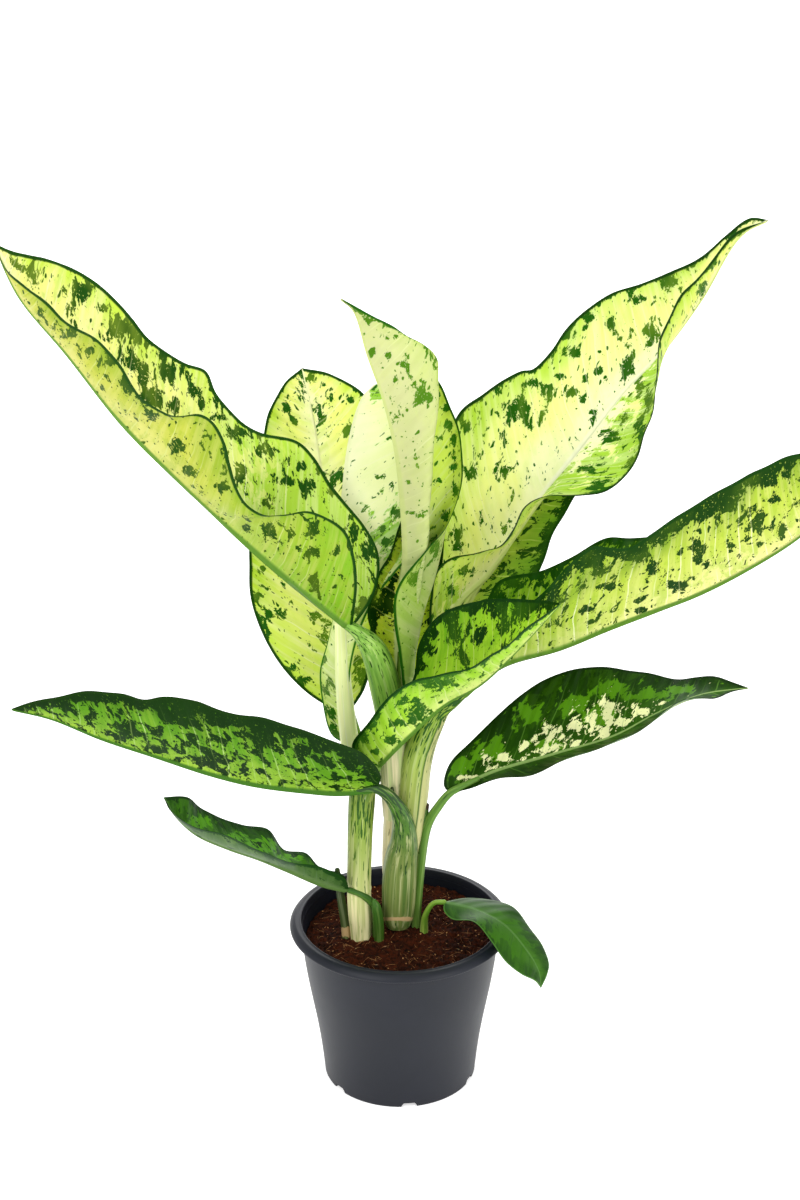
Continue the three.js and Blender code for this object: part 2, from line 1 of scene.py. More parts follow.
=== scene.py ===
"""Looks of a potted dieffenbachia: thirteen variegated leaves on two canes in a nursery pot. Metres, +Z up.

Outlines are places read off the photo as (across, down, depth): pixels from its top left corner and
millimetres behind the pot's axis. PhotoCamera turns them into points in space.
"""

import logging
import math
from dataclasses import dataclass, field
from enum import Enum, StrEnum

import bpy
import numpy as np
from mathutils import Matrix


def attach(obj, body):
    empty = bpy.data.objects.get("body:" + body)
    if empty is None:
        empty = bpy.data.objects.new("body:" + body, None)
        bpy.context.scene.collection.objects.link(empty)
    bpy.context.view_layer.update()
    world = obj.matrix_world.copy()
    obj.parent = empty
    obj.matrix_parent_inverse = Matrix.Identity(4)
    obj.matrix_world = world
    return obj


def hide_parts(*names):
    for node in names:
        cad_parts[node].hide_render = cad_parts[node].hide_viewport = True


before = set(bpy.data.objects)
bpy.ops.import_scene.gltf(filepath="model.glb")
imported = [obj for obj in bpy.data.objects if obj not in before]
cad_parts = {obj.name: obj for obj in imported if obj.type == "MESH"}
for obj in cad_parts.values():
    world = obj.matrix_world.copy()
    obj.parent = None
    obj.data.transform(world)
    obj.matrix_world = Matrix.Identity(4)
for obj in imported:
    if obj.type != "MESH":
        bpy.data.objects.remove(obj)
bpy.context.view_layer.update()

LOG = logging.getLogger("dieffenbachia")
MM = 0.001
BODY = "root"
HALF = 0.69  # exp(-HALF) is about a half
LEAN_POWER = 1.2  # how a lean grows from the base of a line to its tip
Place = tuple[float, ...]
Places = tuple[Place, ...]
Colour = tuple[float, float, float, float]
Array = np.ndarray


def linear(code: str) -> Colour:
    """Turns a screen colour such as "c3d96a" into linear light.

    Args:
        code: six hex digits.

    Returns:
        Red, green, blue and alpha from 0 to 1.
    """
    screen = [int(code[i : i + 2], 16) / 255 for i in (0, 2, 4)]
    light = [s / 12.92 if s <= 0.04045 else ((s + 0.055) / 1.055) ** 2.4 for s in screen]
    return (*light, 1.0)


# ------------------------------------------------------------------ the photo's camera


@dataclass(frozen=True)
class PhotoCamera:
    """The camera that fits the rim and the foot of the pot in the photo."""

    distance: float = 2.209
    height: float = 1.486
    pitch: float = math.radians(25.54)
    focal: float = 3150.0
    middle: tuple[float, float] = (400.0, 600.0)
    long_side: float = 1200.0
    sensor: float = 36.0

    def in_space(self, places: Array) -> Array:
        """Points where the lines of sight through places reach their depths.

        Args:
            places: rows of across and down in pixels and depth in millimetres.

        Returns:
            Rows of x, y, z: along the sight line (right, cos - below sin, -sin - below cos) from the lens.
        """
        right = (places[:, 0] - self.middle[0]) / self.focal
        below = (places[:, 1] - self.middle[1]) / self.focal
        depth = places[:, 2] * MM
        reach = (depth + self.distance) / (math.cos(self.pitch) - below * math.sin(self.pitch))
        fall = math.sin(self.pitch) + below * math.cos(self.pitch)
        return np.stack([right * reach, depth, self.height - fall * reach], axis=1)

    def in_photo(self, points: Array) -> Array:
        """Where points in space are seen.

        Args:
            points: an array of any shape that ends in x, y, z.

        Returns:
            Across and down in pixels: the middle plus focal times the offset over the distance ahead.
        """
        way = points - np.array([0.0, -self.distance, self.height])
        c, s = math.cos(self.pitch), math.sin(self.pitch)
        ahead = way @ np.array([0.0, c, -s])
        across = self.middle[0] + self.focal * way[..., 0] / ahead
        down = self.middle[1] - self.focal * (way @ np.array([0.0, s, c])) / ahead
        return np.stack([across, down], axis=-1)

    def build(self) -> None:
        """Makes the camera and looks through it."""
        data = bpy.data.cameras.new("camera")
        data.sensor_width = self.sensor
        data.sensor_fit = "AUTO"
        data.lens = self.sensor * self.focal / self.long_side
        data.clip_end = 100
        camera = bpy.data.objects.new("camera", data)
        camera.location = (0, -self.distance, self.height)
        camera.rotation_euler = (math.pi / 2 - self.pitch, 0, 0)
        bpy.context.scene.collection.objects.link(camera)
        bpy.context.scene.camera = camera


CAMERA = PhotoCamera()


# ------------------------------------------------------------------ curves and closed meshes


def even_curve(points: Array, count: int) -> Array:
    """Places spaced evenly along a centripetal Catmull-Rom curve.

    Each stretch is a cubic whose end slopes come from the neighbouring points, weighed by the square
    roots of the distances between them.

    Args:
        points: the points to pass through, with any number of columns; the first three are a place.
        count: how many places to return.

    Returns:
        An array of count rows.
    """
    ends = np.vstack([2 * points[0] - points[1], points, 2 * points[-1] - points[-2]])
    p0, p1, p2, p3 = ends[:-3], ends[1:-2], ends[2:-1], ends[3:]
    step = np.sqrt(np.linalg.norm(np.diff(ends[:, :3], axis=0), axis=1)) + 1e-9
    d0, d1, d2 = step[:-2, None], step[1:-1, None], step[2:, None]
    m1 = ((p1 - p0) / d0 - (p2 - p0) / (d0 + d1) + (p2 - p1) / d1) * d1
    m2 = ((p2 - p1) / d1 - (p3 - p1) / (d1 + d2) + (p3 - p2) / d2) * d1
    t = np.linspace(0, 1, 24, endpoint=False)[None, :, None]
    a, b, c, d = (x[:, None] for x in (p1, m1, -3 * p1 + 3 * p2 - 2 * m1 - m2, 2 * p1 - 2 * p2 + m1 + m2))
    fine = np.vstack([(a + b * t + c * t**2 + d * t**3).reshape(-1, points.shape[1]), points[-1]])
    run = np.r_[0, np.cumsum(np.linalg.norm(np.diff(fine[:, :3], axis=0), axis=1))]
    wanted = np.linspace(0, run[-1], count)
    return np.stack([np.interp(wanted, run, column) for column in fine.T], axis=1)


def unit(vectors: Array) -> Array:
    """Vectors scaled to length 1."""
    return vectors / (np.linalg.norm(vectors, axis=-1, keepdims=True) + 1e-12)


def smooth(value: Array, low: float, high: float) -> Array:
    """The smooth step t * t * (3 - 2 t) of a value between low and high."""
    t = np.clip((value - low) / (high - low), 0, 1)
    return t * t * (3 - 2 * t)


def waves(x: Array, y: Array, seed: int, size: float, count: int = 14) -> Array:
    """Smooth seeded noise: the mean of plane waves in random directions, each about size long.

    Args:
        x: first coordinate of each point.
        y: second coordinate of each point.
        seed: which noise to give.
        size: the mean wavelength, in the units of x and y.
        count: how many waves.

    Returns:
        Values around 0, mostly between -1 and 1.
    """
    chance = np.random.default_rng(seed)
    angle, phase = chance.uniform(0, 2 * np.pi, (2, count))
    pitch = 2 * np.pi / (size * chance.uniform(0.6, 1.6, count))
    run = x[..., None] * (np.cos(angle) * pitch) + y[..., None] * (np.sin(angle) * pitch)
    return np.sin(run + phase).sum(-1) / math.sqrt(count)


@dataclass
class Solid:
    """A closed mesh with one vector attribute for each thing its finish reads."""

    points: Array
    quads: Array
    triangles: Array
    attributes: dict[str, Array] = field(default_factory=dict)

    @staticmethod
    def loft(rings: Array, first: Array, last: Array, attributes: dict[str, Array] | None = None) -> "Solid":
        """One closed body: quads join each ring to the next, and a fan closes each end to its own point.

        Args:
            rings: rings of equal length, as rings by corners by 3.
            first: the point that closes the first ring.
            last: the point that closes the last ring.
            attributes: arrays shaped as rings.

        Returns:
            The body, with its faces turned outwards.
        """
        n, k, _ = rings.shape
        points = np.vstack([rings.reshape(-1, 3), first, last])
        corner = np.arange(k)
        after = np.roll(corner, -1)
        row = (np.arange(n - 1) * k)[:, None]
        quads = np.stack([row + corner, row + after, row + k + after, row + k + corner], -1).reshape(-1, 4)
        top = (n - 1) * k
        start = np.stack([np.full(k, n * k), after, corner], -1)
        end = np.stack([np.full(k, n * k + 1), top + corner, top + after], -1)
        spread = {
            name: np.vstack([a.reshape(-1, 3), a[0].mean(0), a[-1].mean(0)])
            for name, a in (attributes or {}).items()
        }
        return Solid(points, quads, np.vstack([start, end]), spread).turned_out()

    def turned_out(self) -> "Solid":
        """The same body with its faces reversed if its volume, summed over corner triples, is negative.

        Returns:
            This body, whose faces now look outwards.
        """
        split = np.vstack([self.triangles, self.quads[:, [0, 1, 2]], self.quads[:, [0, 2, 3]]])
        a, b, c = (self.points[split[:, i]] for i in range(3))
        if np.einsum("ij,ij->i", a, np.cross(b, c)).sum() < 0:
            self.quads, self.triangles = self.quads[:, ::-1], self.triangles[:, ::-1]
        return self

    def object(self, name: str, material: bpy.types.Material, sharp: float = 50.0) -> bpy.types.Object:
        """Puts the body into Blender.

        Args:
            name: the object's name.
            material: its one material.
            sharp: the angle in degrees past which an edge is left sharp.

        Returns:
            The new object, at the origin.
        """
        mesh = bpy.data.meshes.new(name)
        mesh.from_pydata(self.points.tolist(), [], self.quads.tolist() + self.triangles.tolist())
        mesh.materials.append(material)
        mesh.polygons.foreach_set("use_smooth", np.ones(len(mesh.polygons), bool))
        mesh.set_sharp_from_angle(angle=math.radians(sharp))
        for key, values in self.attributes.items():
            layer = mesh.attributes.new(key, "FLOAT_VECTOR", "POINT")
            layer.data.foreach_set("vector", values.astype(np.float32).ravel())
        mesh.update()
        made = bpy.data.objects.new(name, mesh)
        bpy.context.scene.collection.objects.link(made)
        return made


class Slot(StrEnum):
    """The material slots of the plant's record."""

    POT = "pot_plastic"
    SOIL = "soil"
    PALE_STEM = "stem_pale"
    GREEN_STEM = "stem_green"
    BRIGHT_LEAF = "leaf_bright"
    YOUNG_LEAF = "leaf_young"
    DARK_LEAF = "leaf_dark"


def fit(piece: bpy.types.Object, slot: Slot, *nodes: str) -> bpy.types.Object:
    """Lets a piece ride on the plant, hides the CAD nodes that it stands for, and reports it.

    Args:
        piece: the object.
        slot: its material slot; not used.
        nodes: the CAD nodes that it stands for.

    Returns:
        The same object.
    """
    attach(piece, BODY)
    if nodes:
        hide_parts(*nodes)
    LOG.info("%s: %d faces, for %s", piece.name, len(piece.data.polygons), ", ".join(nodes) or "detail")
    return piece


# ------------------------------------------------------------------ node graphs

Socket = bpy.types.NodeSocket
Input = float | tuple | Socket


class Graph:
    """Adds nodes to a tree and links them, so that a finish reads as its formula."""

    def __init__(self, tree: bpy.types.NodeTree) -> None:
        """Keeps the tree that nodes are added to."""
        self.tree = tree

    def feed(self, socket: Socket, value: Input) -> None:
        """Links a socket to another one, or sets it to a constant.

        Args:
            socket: the input that is fed.
            value: an output, or a constant of its kind.
        """
        if isinstance(value, Socket):
            self.tree.links.new(value, socket)
        else:
            socket.default_value = value

    def node(
        self, kind: str, inputs: dict[str | int, Input] | None = None, **settings: object
    ) -> bpy.types.Node:
        """Adds a node.

        Args:
            kind: its type.
            inputs: links or constants for its sockets, which are named or numbered.
            settings: its properties.

        Returns:
            The node.
        """
        made = self.tree.nodes.new(kind)
        for key, value in settings.items():
            setattr(made, key, value)
        for key, value in (inputs or {}).items():
            self.feed(made.inputs[key], value)
        return made

    def math(self, operation: str, *values: Input, clamp: bool = False) -> Socket:
        """A Math node on one to three values."""
        made = self.node("ShaderNodeMath", dict(enumerate(values)), operation=operation, use_clamp=clamp)
        return made.outputs[0]

    def times(self, a: Input, b: Input) -> Socket:
        """The product of two values."""
        return self.math("MULTIPLY", a, b)

    def plus(self, a: Input, b: Input) -> Socket:
        """The sum of two values."""
        return self.math("ADD", a, b)

    def minus(self, a: Input, b: Input) -> Socket:
        """Value b taken from value a."""
        return self.math("SUBTRACT", a, b)

    def rest(self, value: Input) -> Socket:
        """What a value leaves of 1."""
        return self.math("SUBTRACT", 1.0, value)

    def most(self, a: Input, b: Input) -> Socket:
        """The larger of two values."""
        return self.math("MAXIMUM", a, b)

    def strays(self, value: Input, size: float) -> Socket:
        """How far a noise is from 0.5, in units of size."""
        return self.math("DIVIDE", self.minus(value, 0.5), size)

    def mix(self, factor: Input, a: Input, b: Input) -> Socket:
        """Colour a turned into colour b by a factor."""
        return self.node("ShaderNodeMix", {0: factor, 6: a, 7: b}, data_type="RGBA").outputs[2]

    def band(self, value: Input, low: Input, high: Input) -> Socket:
        """0 below low, 1 above high and a smooth step between."""
        inputs = {0: value, 1: low, 2: high}
        return self.node("ShaderNodeMapRange", inputs, interpolation_type="SMOOTHSTEP").outputs[0]

    def stretch(self, vector: Input, by: tuple[float, float, float]) -> Socket:
        """A vector multiplied part by part."""
        return self.node("ShaderNodeVectorMath", {0: vector, 1: by}, operation="MULTIPLY").outputs[0]

    def shift(self, vector: Input, by: Input) -> Socket:
        """A vector moved by another."""
        return self.node("ShaderNodeVectorMath", {0: vector, 1: by}, operation="ADD").outputs[0]

    def noise(self, vector: Input, scale: Input, detail: float = 2.0, rough: float = 0.5) -> Socket:
        """Noise around 0.5."""
        inputs = {"Vector": vector, "Scale": scale, "Detail": detail, "Roughness": rough}
        return self.node("ShaderNodeTexNoise", inputs).outputs[0]

    def cells(self, vector: Input, scale: float) -> bpy.types.Node:
        """A Voronoi node, with the distance to the nearest of scattered points and that cell's colour."""
        return self.node("ShaderNodeTexVoronoi", {"Vector": vector, "Scale": scale})

    def split(self, vector: Input) -> list[Socket]:
        """The three parts of a vector."""
        return list(self.node("ShaderNodeSeparateXYZ", {0: vector}).outputs)

    def attribute(self, name: str) -> Socket:
        """A vector attribute of the mesh."""
        return self.node("ShaderNodeAttribute", attribute_name=name).outputs["Vector"]

    def bump(self, height: Input, strength: float, distance: float) -> Socket:
        """The normal of a surface that is raised by height times distance."""
        inputs = {"Height": height, "Strength": strength, "Distance": distance}
        return self.node("ShaderNodeBump", inputs).outputs[0]

    def skin(self, colour: Input, rough: Input, gloss: float, normal: Input) -> Socket:
        """A Principled surface, with gloss as its specular level."""
        inputs = {"Base Color": colour, "Roughness": rough, "Specular IOR Level": gloss, "Normal": normal}
        return self.node("ShaderNodeBsdfPrincipled", inputs).outputs[0]


class Kind(Enum):
    """What a group's socket carries."""

    NUMBER = "NodeSocketFloat"
    VECTOR = "NodeSocketVector"
    COLOUR = "NodeSocketColor"


def new_group(name: str, inputs: dict[str, Kind], outputs: dict[str, Kind]) -> tuple[Graph, dict, dict]:
    """A new node group.

    Args:
        name: the group's name.
        inputs: what goes in.
        outputs: what comes out.

    Returns:
        Its graph, the sockets to read its inputs from and the sockets to put its outputs into.
    """
    tree = bpy.data.node_groups.new(name, "ShaderNodeTree")
    for way, sockets in (("INPUT", inputs), ("OUTPUT", outputs)):
        for key, kind in sockets.items():
            tree.interface.new_socket(name=key, in_out=way, socket_type=kind.value)
    source, sink = tree.nodes.new("NodeGroupInput"), tree.nodes.new("NodeGroupOutput")
    return Graph(tree), {k: source.outputs[k] for k in inputs}, {k: sink.inputs[k] for k in outputs}


N, V, C = Kind.NUMBER, Kind.VECTOR, Kind.COLOUR  # short names for the lists of sockets below


@dataclass(frozen=True)
class Pattern:
    """Sizes and levels of a leaf's pattern, in metres.

    A scale counts the cells of a noise in a metre, and its stray is how far the noise is from 0.5 at
    most places. A pull is what a field adds to the noise, and marks stand where the sum passes level.
    """

    broad_scale: float = 24.0
    bend_scale: float = 70.0
    bend: float = 0.012
    squash: float = 0.85
    mark_scale: float = 100.0
    grit_scale: float = 270.0
    stray: float = 0.085
    tone_pull: float = 3.0
    mark_pull: float = 3.2
    rim_pull: float = 3.4
    fleck_pull: float = 2.0
    level: float = 1.75
    mark_full: float = 1.92
    grit_full: float = 1.95
    hole_scale: float = 460.0
    hole: tuple[float, float] = (0.62, 0.66)
    small_dots: float = 360.0
    large_dots: float = 215.0
    large_shift: tuple[float, float, float] = (3.1, 1.7, 0.9)
    small_share: float = 0.35
    large_share: float = 0.3
    vein_step: float = 0.0115
    vein_sway: float = 0.006
    vein_line: tuple[float, float] = (0.0001, 0.0009)
    vein_slope: float = 0.0055
    patch_scale: float = 62.0
    patch_stray: float = 0.09
    patch_pull: float = 3.0
    patch_level: float = 1.25
    ray_scale: float = 150.0
    skin_scale: float = 700.0


def leaf_masks_group() -> bpy.types.NodeTree:
    """The pattern of a variegated leaf: jagged marks with holes, dots and patches drawn out along the veins.

    Vein holds where a point's vein leaves the midrib and how far along it the point lies. Noise plus the
    mesh's own field of marks, more of it inside the rim, makes a mark wherever the sum passes a level.
    Dots are round cells of random size. Veins are thin lines at even steps.

    Returns:
        The group's tree.
    """
    numbers = ("Mark", "Edge", "Across", "Rib", "Flecks", "Dots", "Jag", "Margin", "Rim", "Zone", "Patchy")
    shown = ("Blotch", "Veins", "Edging", "Midrib", "Mottle", "Patch", "Rays", "Height")
    g, i, o = new_group("leaf_masks", {"Vein": V} | dict.fromkeys(numbers, N), dict.fromkeys(shown, N))
    p = Pattern()
    sway = g.node("ShaderNodeTexNoise", {"Vector": i["Vein"], "Scale": p.bend_scale, "Detail": 2.0})
    bend = g.stretch(sway.outputs["Color"], (p.bend, p.bend, 0.0))
    along = g.shift(g.stretch(i["Vein"], (1, p.squash, 1)), bend)
    broad = g.noise(i["Vein"], p.broad_scale)
    tone = g.times(g.minus(broad, 0.5), p.tone_pull)
    rough = g.strays(g.noise(along, p.mark_scale, 7.0, 0.62), p.stray)
    rim = g.math("SUBTRACT", 1.0, g.math("DIVIDE", i["Edge"], i["Rim"]), clamp=True)
    pull = g.plus(g.times(i["Mark"], p.mark_pull), g.times(rim, p.rim_pull))
    score = g.plus(g.plus(g.times(rough, i["Jag"]), pull), tone)
    score = g.plus(score, g.times(i["Flecks"], p.fleck_pull))
    grit = g.strays(g.noise(along, p.grit_scale, 4.0, 0.6), p.stray)
    near = g.plus(g.times(grit, 0.9), g.times(pull, 0.5))
    near = g.plus(near, g.plus(g.times(tone, 0.6), i["Flecks"]))
    mark = g.most(g.band(score, p.level, p.mark_full), g.band(near, p.level, p.grit_full))
    mark = g.times(mark, g.rest(g.band(g.noise(along, p.hole_scale, 3.0, 0.6), *p.hole)))
    small = dot_mask(g, g.cells(along, p.small_dots), p.small_share)
    large = dot_mask(g, g.cells(g.shift(along, p.large_shift), p.large_dots), p.large_share)
    dots = g.most(g.times(i["Dots"], small), g.times(i["Dots"], large))
    g.feed(o["Blotch"], g.most(mark, dots))
    wander = g.times(g.noise(i["Vein"], 40, 1.0), p.vein_sway)
    step = g.math("FRACT", g.math("DIVIDE", g.plus(g.split(i["Vein"])[0], wander), p.vein_step))
    off = g.times(g.math("ABSOLUTE", g.minus(step, 0.5)), p.vein_step)
    fade = g.rest(g.band(i["Across"], 0.45, 1.0))
    strength = g.times(fade, g.band(g.noise(g.stretch(i["Vein"], (1, 0.2, 1)), 60), 0.38, 0.62))
    g.feed(o["Veins"], g.times(g.rest(g.band(off, *p.vein_line)), strength))
    width = g.times(i["Margin"], g.plus(0.6, g.times(broad, 0.8)))
    g.feed(o["Edging"], g.rest(g.band(i["Edge"], g.times(width, 0.6), width)))
    g.feed(o["Midrib"], g.rest(g.band(i["Rib"], 0.7, 1.5)))
    g.feed(o["Mottle"], broad)
    soft = g.strays(g.noise(along, p.patch_scale, 6.0, 0.66), p.patch_stray)
    scattered = g.times(g.band(g.minus(soft, tone), -0.2, 1.0), i["Patchy"])
    zone = g.plus(g.times(i["Zone"], p.patch_pull), g.times(rough, 0.85))
    g.feed(o["Patch"], g.most(scattered, g.band(zone, p.patch_level, p.level)))
    g.feed(o["Rays"], g.band(g.noise(g.stretch(i["Vein"], (1, 0.07, 1)), p.ray_scale, 3.0, 0.6), 0.42, 0.68))
    low = g.times(g.band(off, 0.0, p.vein_slope), 0.8)
    g.feed(o["Height"], g.plus(low, g.times(g.noise(along, p.skin_scale, 3.0), 0.14)))
    return g.tree


def dot_mask(g: Graph, cells: bpy.types.Node, share: float) -> Socket:
    """Round dots of random size.

    Args:
        g: the graph that they are added to.
        cells: a Voronoi node. The first part of a cell's colour sets its dot's size, as a square.
        share: the share of the cells that have a dot.

    Returns:
        1 inside a dot and 0 outside.
    """
    chance = g.node("ShaderNodeSeparateColor", {0: cells.outputs["Color"]})
    size = g.times(g.math("POWER", chance.outputs[0], 2.0), 0.36)
    dots = g.band(g.minus(size, cells.outputs["Distance"]), -0.03, 0.03)
    return g.times(dots, g.math("LESS_THAN", chance.outputs[1], share))


def leaf_face_group() -> bpy.types.NodeTree:
    """The colour of one face: a ground from midrib to margin and from foot to tip, then its marks.

    Returns:
        The group's tree.
    """
    names = ("Across", "Along", "Blotch", "Veins", "Edging", "Midrib", "Mottle", "Patch", "Rays")
    colours = ("Inner", "Middle", "Outer", "Spot", "Line", "Rib", "Edge", "Patch Colour", "Foot")
    inputs = dict.fromkeys((*names, "Soften", "Footed"), N) | dict.fromkeys(colours, C)
    g, i, o = new_group("leaf_face", inputs, {"Colour": C})
    sway = g.times(g.minus(i["Mottle"], 0.5), 0.9)
    place = g.plus(i["Across"], sway)
    ground = g.mix(g.band(place, 0.02, 0.5), i["Inner"], i["Middle"])
    ground = g.mix(g.band(place, 0.5, 1.05), ground, i["Outer"])
    near = g.rest(g.band(g.plus(i["Along"], g.times(sway, 0.3)), 0.0, 0.6))
    ground = g.mix(g.times(near, i["Footed"]), ground, i["Foot"])
    ground = g.mix(i["Patch"], ground, i["Patch Colour"])
    ground = g.mix(g.times(i["Rays"], 0.35), ground, i["Inner"])
    ground = g.mix(g.times(i["Veins"], 0.75), ground, i["Line"])
    marked = g.times(i["Blotch"], g.rest(i["Soften"]))
    marked = g.times(marked, g.rest(g.times(i["Veins"], 0.3)))
    tone = g.times(g.band(i["Mottle"], 0.45, 0.66), 0.2)
    shown = g.mix(marked, ground, g.mix(tone, i["Spot"], i["Outer"]))
    shown = g.mix(i["Edging"], shown, i["Edge"])
    g.feed(o["Colour"], g.mix(i["Midrib"], shown, i["Rib"]))
    return g.tree


@dataclass(frozen=True)
class Streaks:
    """How the noises of a stem are drawn out: cells in a metre across, deep and along."""

    soft: tuple[float, float, float] = (300, 300, 9)
    pale: tuple[float, float, float] = (390, 390, 8)
    dash: tuple[float, float, float] = (760, 760, 60)
    rib: tuple[float, float, float] = (700, 700, 12)
    dash_level: float = 0.74
    dash_pull: float = 0.2
    dash_edge: float = 0.04


def streaks_group() -> bpy.types.NodeTree:
    """Long streaks and short dashes on a stem. Stem is a place whose third part runs along it, in metres.

    Returns:
        The group's tree.
    """
    inputs = {"Stem": V, "Dashes": N}
    g, i, o = new_group("streaks", inputs, dict.fromkeys(("Soft", "Pale", "Dash", "Height"), N))
    p = Streaks()
    soft = g.noise(g.stretch(i["Stem"], p.soft), 1.0, 3.0, 0.55)
    pale = g.noise(g.stretch(i["Stem"], p.pale), 1.0, 3.0)
    dash = g.noise(g.stretch(i["Stem"], p.dash), 1.0)
    level = g.minus(p.dash_level, g.times(i["Dashes"], p.dash_pull))
    g.feed(o["Soft"], g.band(soft, 0.38, 0.62))
    g.feed(o["Pale"], g.band(pale, 0.52, 0.66))
    g.feed(o["Dash"], g.band(dash, level, g.plus(level, p.dash_edge)))
    ribs = g.noise(g.stretch(i["Stem"], p.rib), 1.0)
    g.feed(o["Height"], g.plus(ribs, g.times(soft, 0.4)))
    return g.tree


class Groups:
    """The shared effects, each built once."""

    made: dict[str, bpy.types.NodeTree] = {}

    @classmethod
    def use(cls, graph: Graph, name: str, inputs: dict[str | int, Input]) -> bpy.types.Node:
        """Places a group in a material.

        Args:
            graph: the material's graph.
            name: which group.
            inputs: the links and values for its inputs.

        Returns:
            The group's node.
        """
        builders = {"leaf_masks": leaf_masks_group, "leaf_face": leaf_face_group, "streaks": streaks_group}
        if name not in cls.made:
            cls.made[name] = builders[name]()
        made = graph.tree.nodes.new("ShaderNodeGroup")
        made.node_tree = cls.made[name]
        for key, value in inputs.items():
            graph.feed(made.inputs[key], value)
        return made


def new_material(name: str) -> tuple[bpy.types.Material, Graph, bpy.types.Node]:
    """An empty material.

    Args:
        name: its name.

    Returns:
        The material, its graph and its output node.
    """
    material = bpy.data.materials.new(name)
    material.use_nodes = True
    material.node_tree.nodes.clear()
    graph = Graph(material.node_tree)
    return material, graph, graph.node("ShaderNodeOutputMaterial")


# ------------------------------------------------------------------ finishes


@dataclass(frozen=True)
class Face:
    """The colours of one face of a leaf, from midrib to margin, and of what lies on them."""

    inner: str
    middle: str
    outer: str
    spot: str
    line: str
    rib: str
    edge: str = "1b4708"
    patch: str = "8fbb2c"
    foot: str = "9cc436"
    soften: float = 0.0
    footed: float = 0.0

    def inputs(self) -> dict[str, Input]:
        """The values for the leaf_face group.

        Returns:
            Colours in linear light and shares, by the names of the group's inputs.
        """
        names = ("inner", "middle", "outer", "spot", "line", "rib", "edge", "foot")
        colours = {n.capitalize(): linear(getattr(self, n)) for n in names}
        numbers = {"Soften": self.soften, "Footed": self.footed}
        return colours | numbers | {"Patch Colour": linear(self.patch)}


@dataclass(frozen=True)
class LeafFinish:
    """A leaf's two faces, how its marks are spread and how much light comes through it.

    flecks adds marks everywhere, dots is the strength of the round dots and jag is how ragged the marks
    are. margin is the width of the dark edging, and rim that of the strip with more marks, in metres.
    patchy is the strength of the scattered patches. glow is the share of light that comes through, gloss
    the specular level and relief the strength of the bump.
    """

    upper: Face
    under: Face
    flecks: float = 0.1
    dots: float = 1.0
    jag: float = 1.3
    margin: float = 0.0029
    rim: float = 0.003
    patchy: float = 0.4
    glow: float = 0.15
    gloss: float = 0.06
    rough: float = 0.4
    relief: float = 0.5

    def material(self, name: str) -> bpy.types.Material:
        """Builds the finish for one leaf.

        Args:
            name: the material's name.

        Returns:
            The material.
        """
        material, g, out = new_material(name)
        edge, across, rib = g.split(g.attribute("blade"))
        mark, side, along = g.split(g.attribute("face"))
        names = ("flecks", "dots", "jag", "margin", "rim", "patchy")
        spread = {n.capitalize(): getattr(self, n) for n in names}
        spread["Zone"] = g.split(g.attribute("tone"))[0]
        places = {"Vein": g.attribute("vein"), "Mark": mark, "Edge": edge, "Across": across, "Rib": rib}
        masks = Groups.use(g, "leaf_masks", places | spread).outputs
        shown = ("Blotch", "Veins", "Edging", "Midrib", "Mottle", "Patch", "Rays")
        shared = {k: masks[k] for k in shown} | {"Across": across, "Along": along}
        below = Groups.use(g, "leaf_face", shared | self.under.inputs()).outputs[0]
        above = Groups.use(g, "leaf_face", shared | self.upper.inputs()).outputs[0]
        colour = g.mix(g.band(side, 0.4, 0.6), below, above)
        bump = g.bump(masks["Height"], self.relief, 1.6 * MM)
        shine = g.plus(self.rough, g.times(g.minus(masks["Mottle"], 0.5), 0.2))
        waxy = g.skin(colour, shine, self.gloss, bump)
        through = g.node("ShaderNodeBsdfTranslucent", {"Color": colour, "Normal": bump})
        both = g.node("ShaderNodeMixShader", {0: self.glow, 1: waxy, 2: through.outputs[0]})
        g.feed(out.inputs[0], both.outputs[0])
        return material


@dataclass(frozen=True)
class StemFinish:
    """A stem's colours from its foot to its top, its streaks and its dashes.

    rise holds the shares of its length between which the foot's colour turns into the top's. A flank is
    the part on the viewer's right, from flank_from of its radius on, behind a line in the dashes' colour.
    """

    foot: str
    top: str
    streak: str
    dash: str
    dashes: float = 0.4
    streaks: float = 0.5
    rough: float = 0.42
    mark: str = "3a2a1a"
    pale: str = "eef0cc"
    pales: float = 0.35
    rise: tuple[float, float] = (0.05, 0.75)
    flank: str = ""
    flank_from: float = 0.3

    def material(self, name: str) -> bpy.types.Material:
        """Builds the finish for one stem.

        Args:
            name: the material's name.

        Returns:
            The material.
        """
        material, g, out = new_material(name)
        stem = g.attribute("stem")
        share, mark, right = g.split(g.attribute("stem_data"))
        dense = g.plus(0.2, g.times(g.math("POWER", share, 2.0), 1.2))
        inputs = {"Stem": stem, "Dashes": g.times(dense, self.dashes)}
        masks = Groups.use(g, "streaks", inputs).outputs
        colour = g.mix(g.band(share, *self.rise), linear(self.foot), linear(self.top))
        colour = g.mix(g.times(masks["Soft"], self.streaks), colour, linear(self.streak))
        colour = g.mix(g.times(masks["Pale"], self.pales), colour, linear(self.pale))
        if self.flank:
            past = g.minus(right, self.flank_from)
            colour = g.mix(g.times(g.band(past, -0.02, 0.04), 0.8), colour, linear(self.flank))
            seam = g.rest(g.band(g.math("ABSOLUTE", past), 0.02, 0.09))
            colour = g.mix(g.times(seam, 0.8), colour, linear(self.dash))
        colour = g.mix(masks["Dash"], colour, linear(self.dash))
        spot = g.band(g.plus(mark, g.times(masks["Soft"], 0.2)), 0.45, 0.62)
        colour = g.mix(spot, colour, linear(self.mark))
        bump = g.bump(masks["Height"], 0.4, 0.6 * MM)
        g.feed(out.inputs[0], g.skin(colour, self.rough, 0.2, bump))
        return material


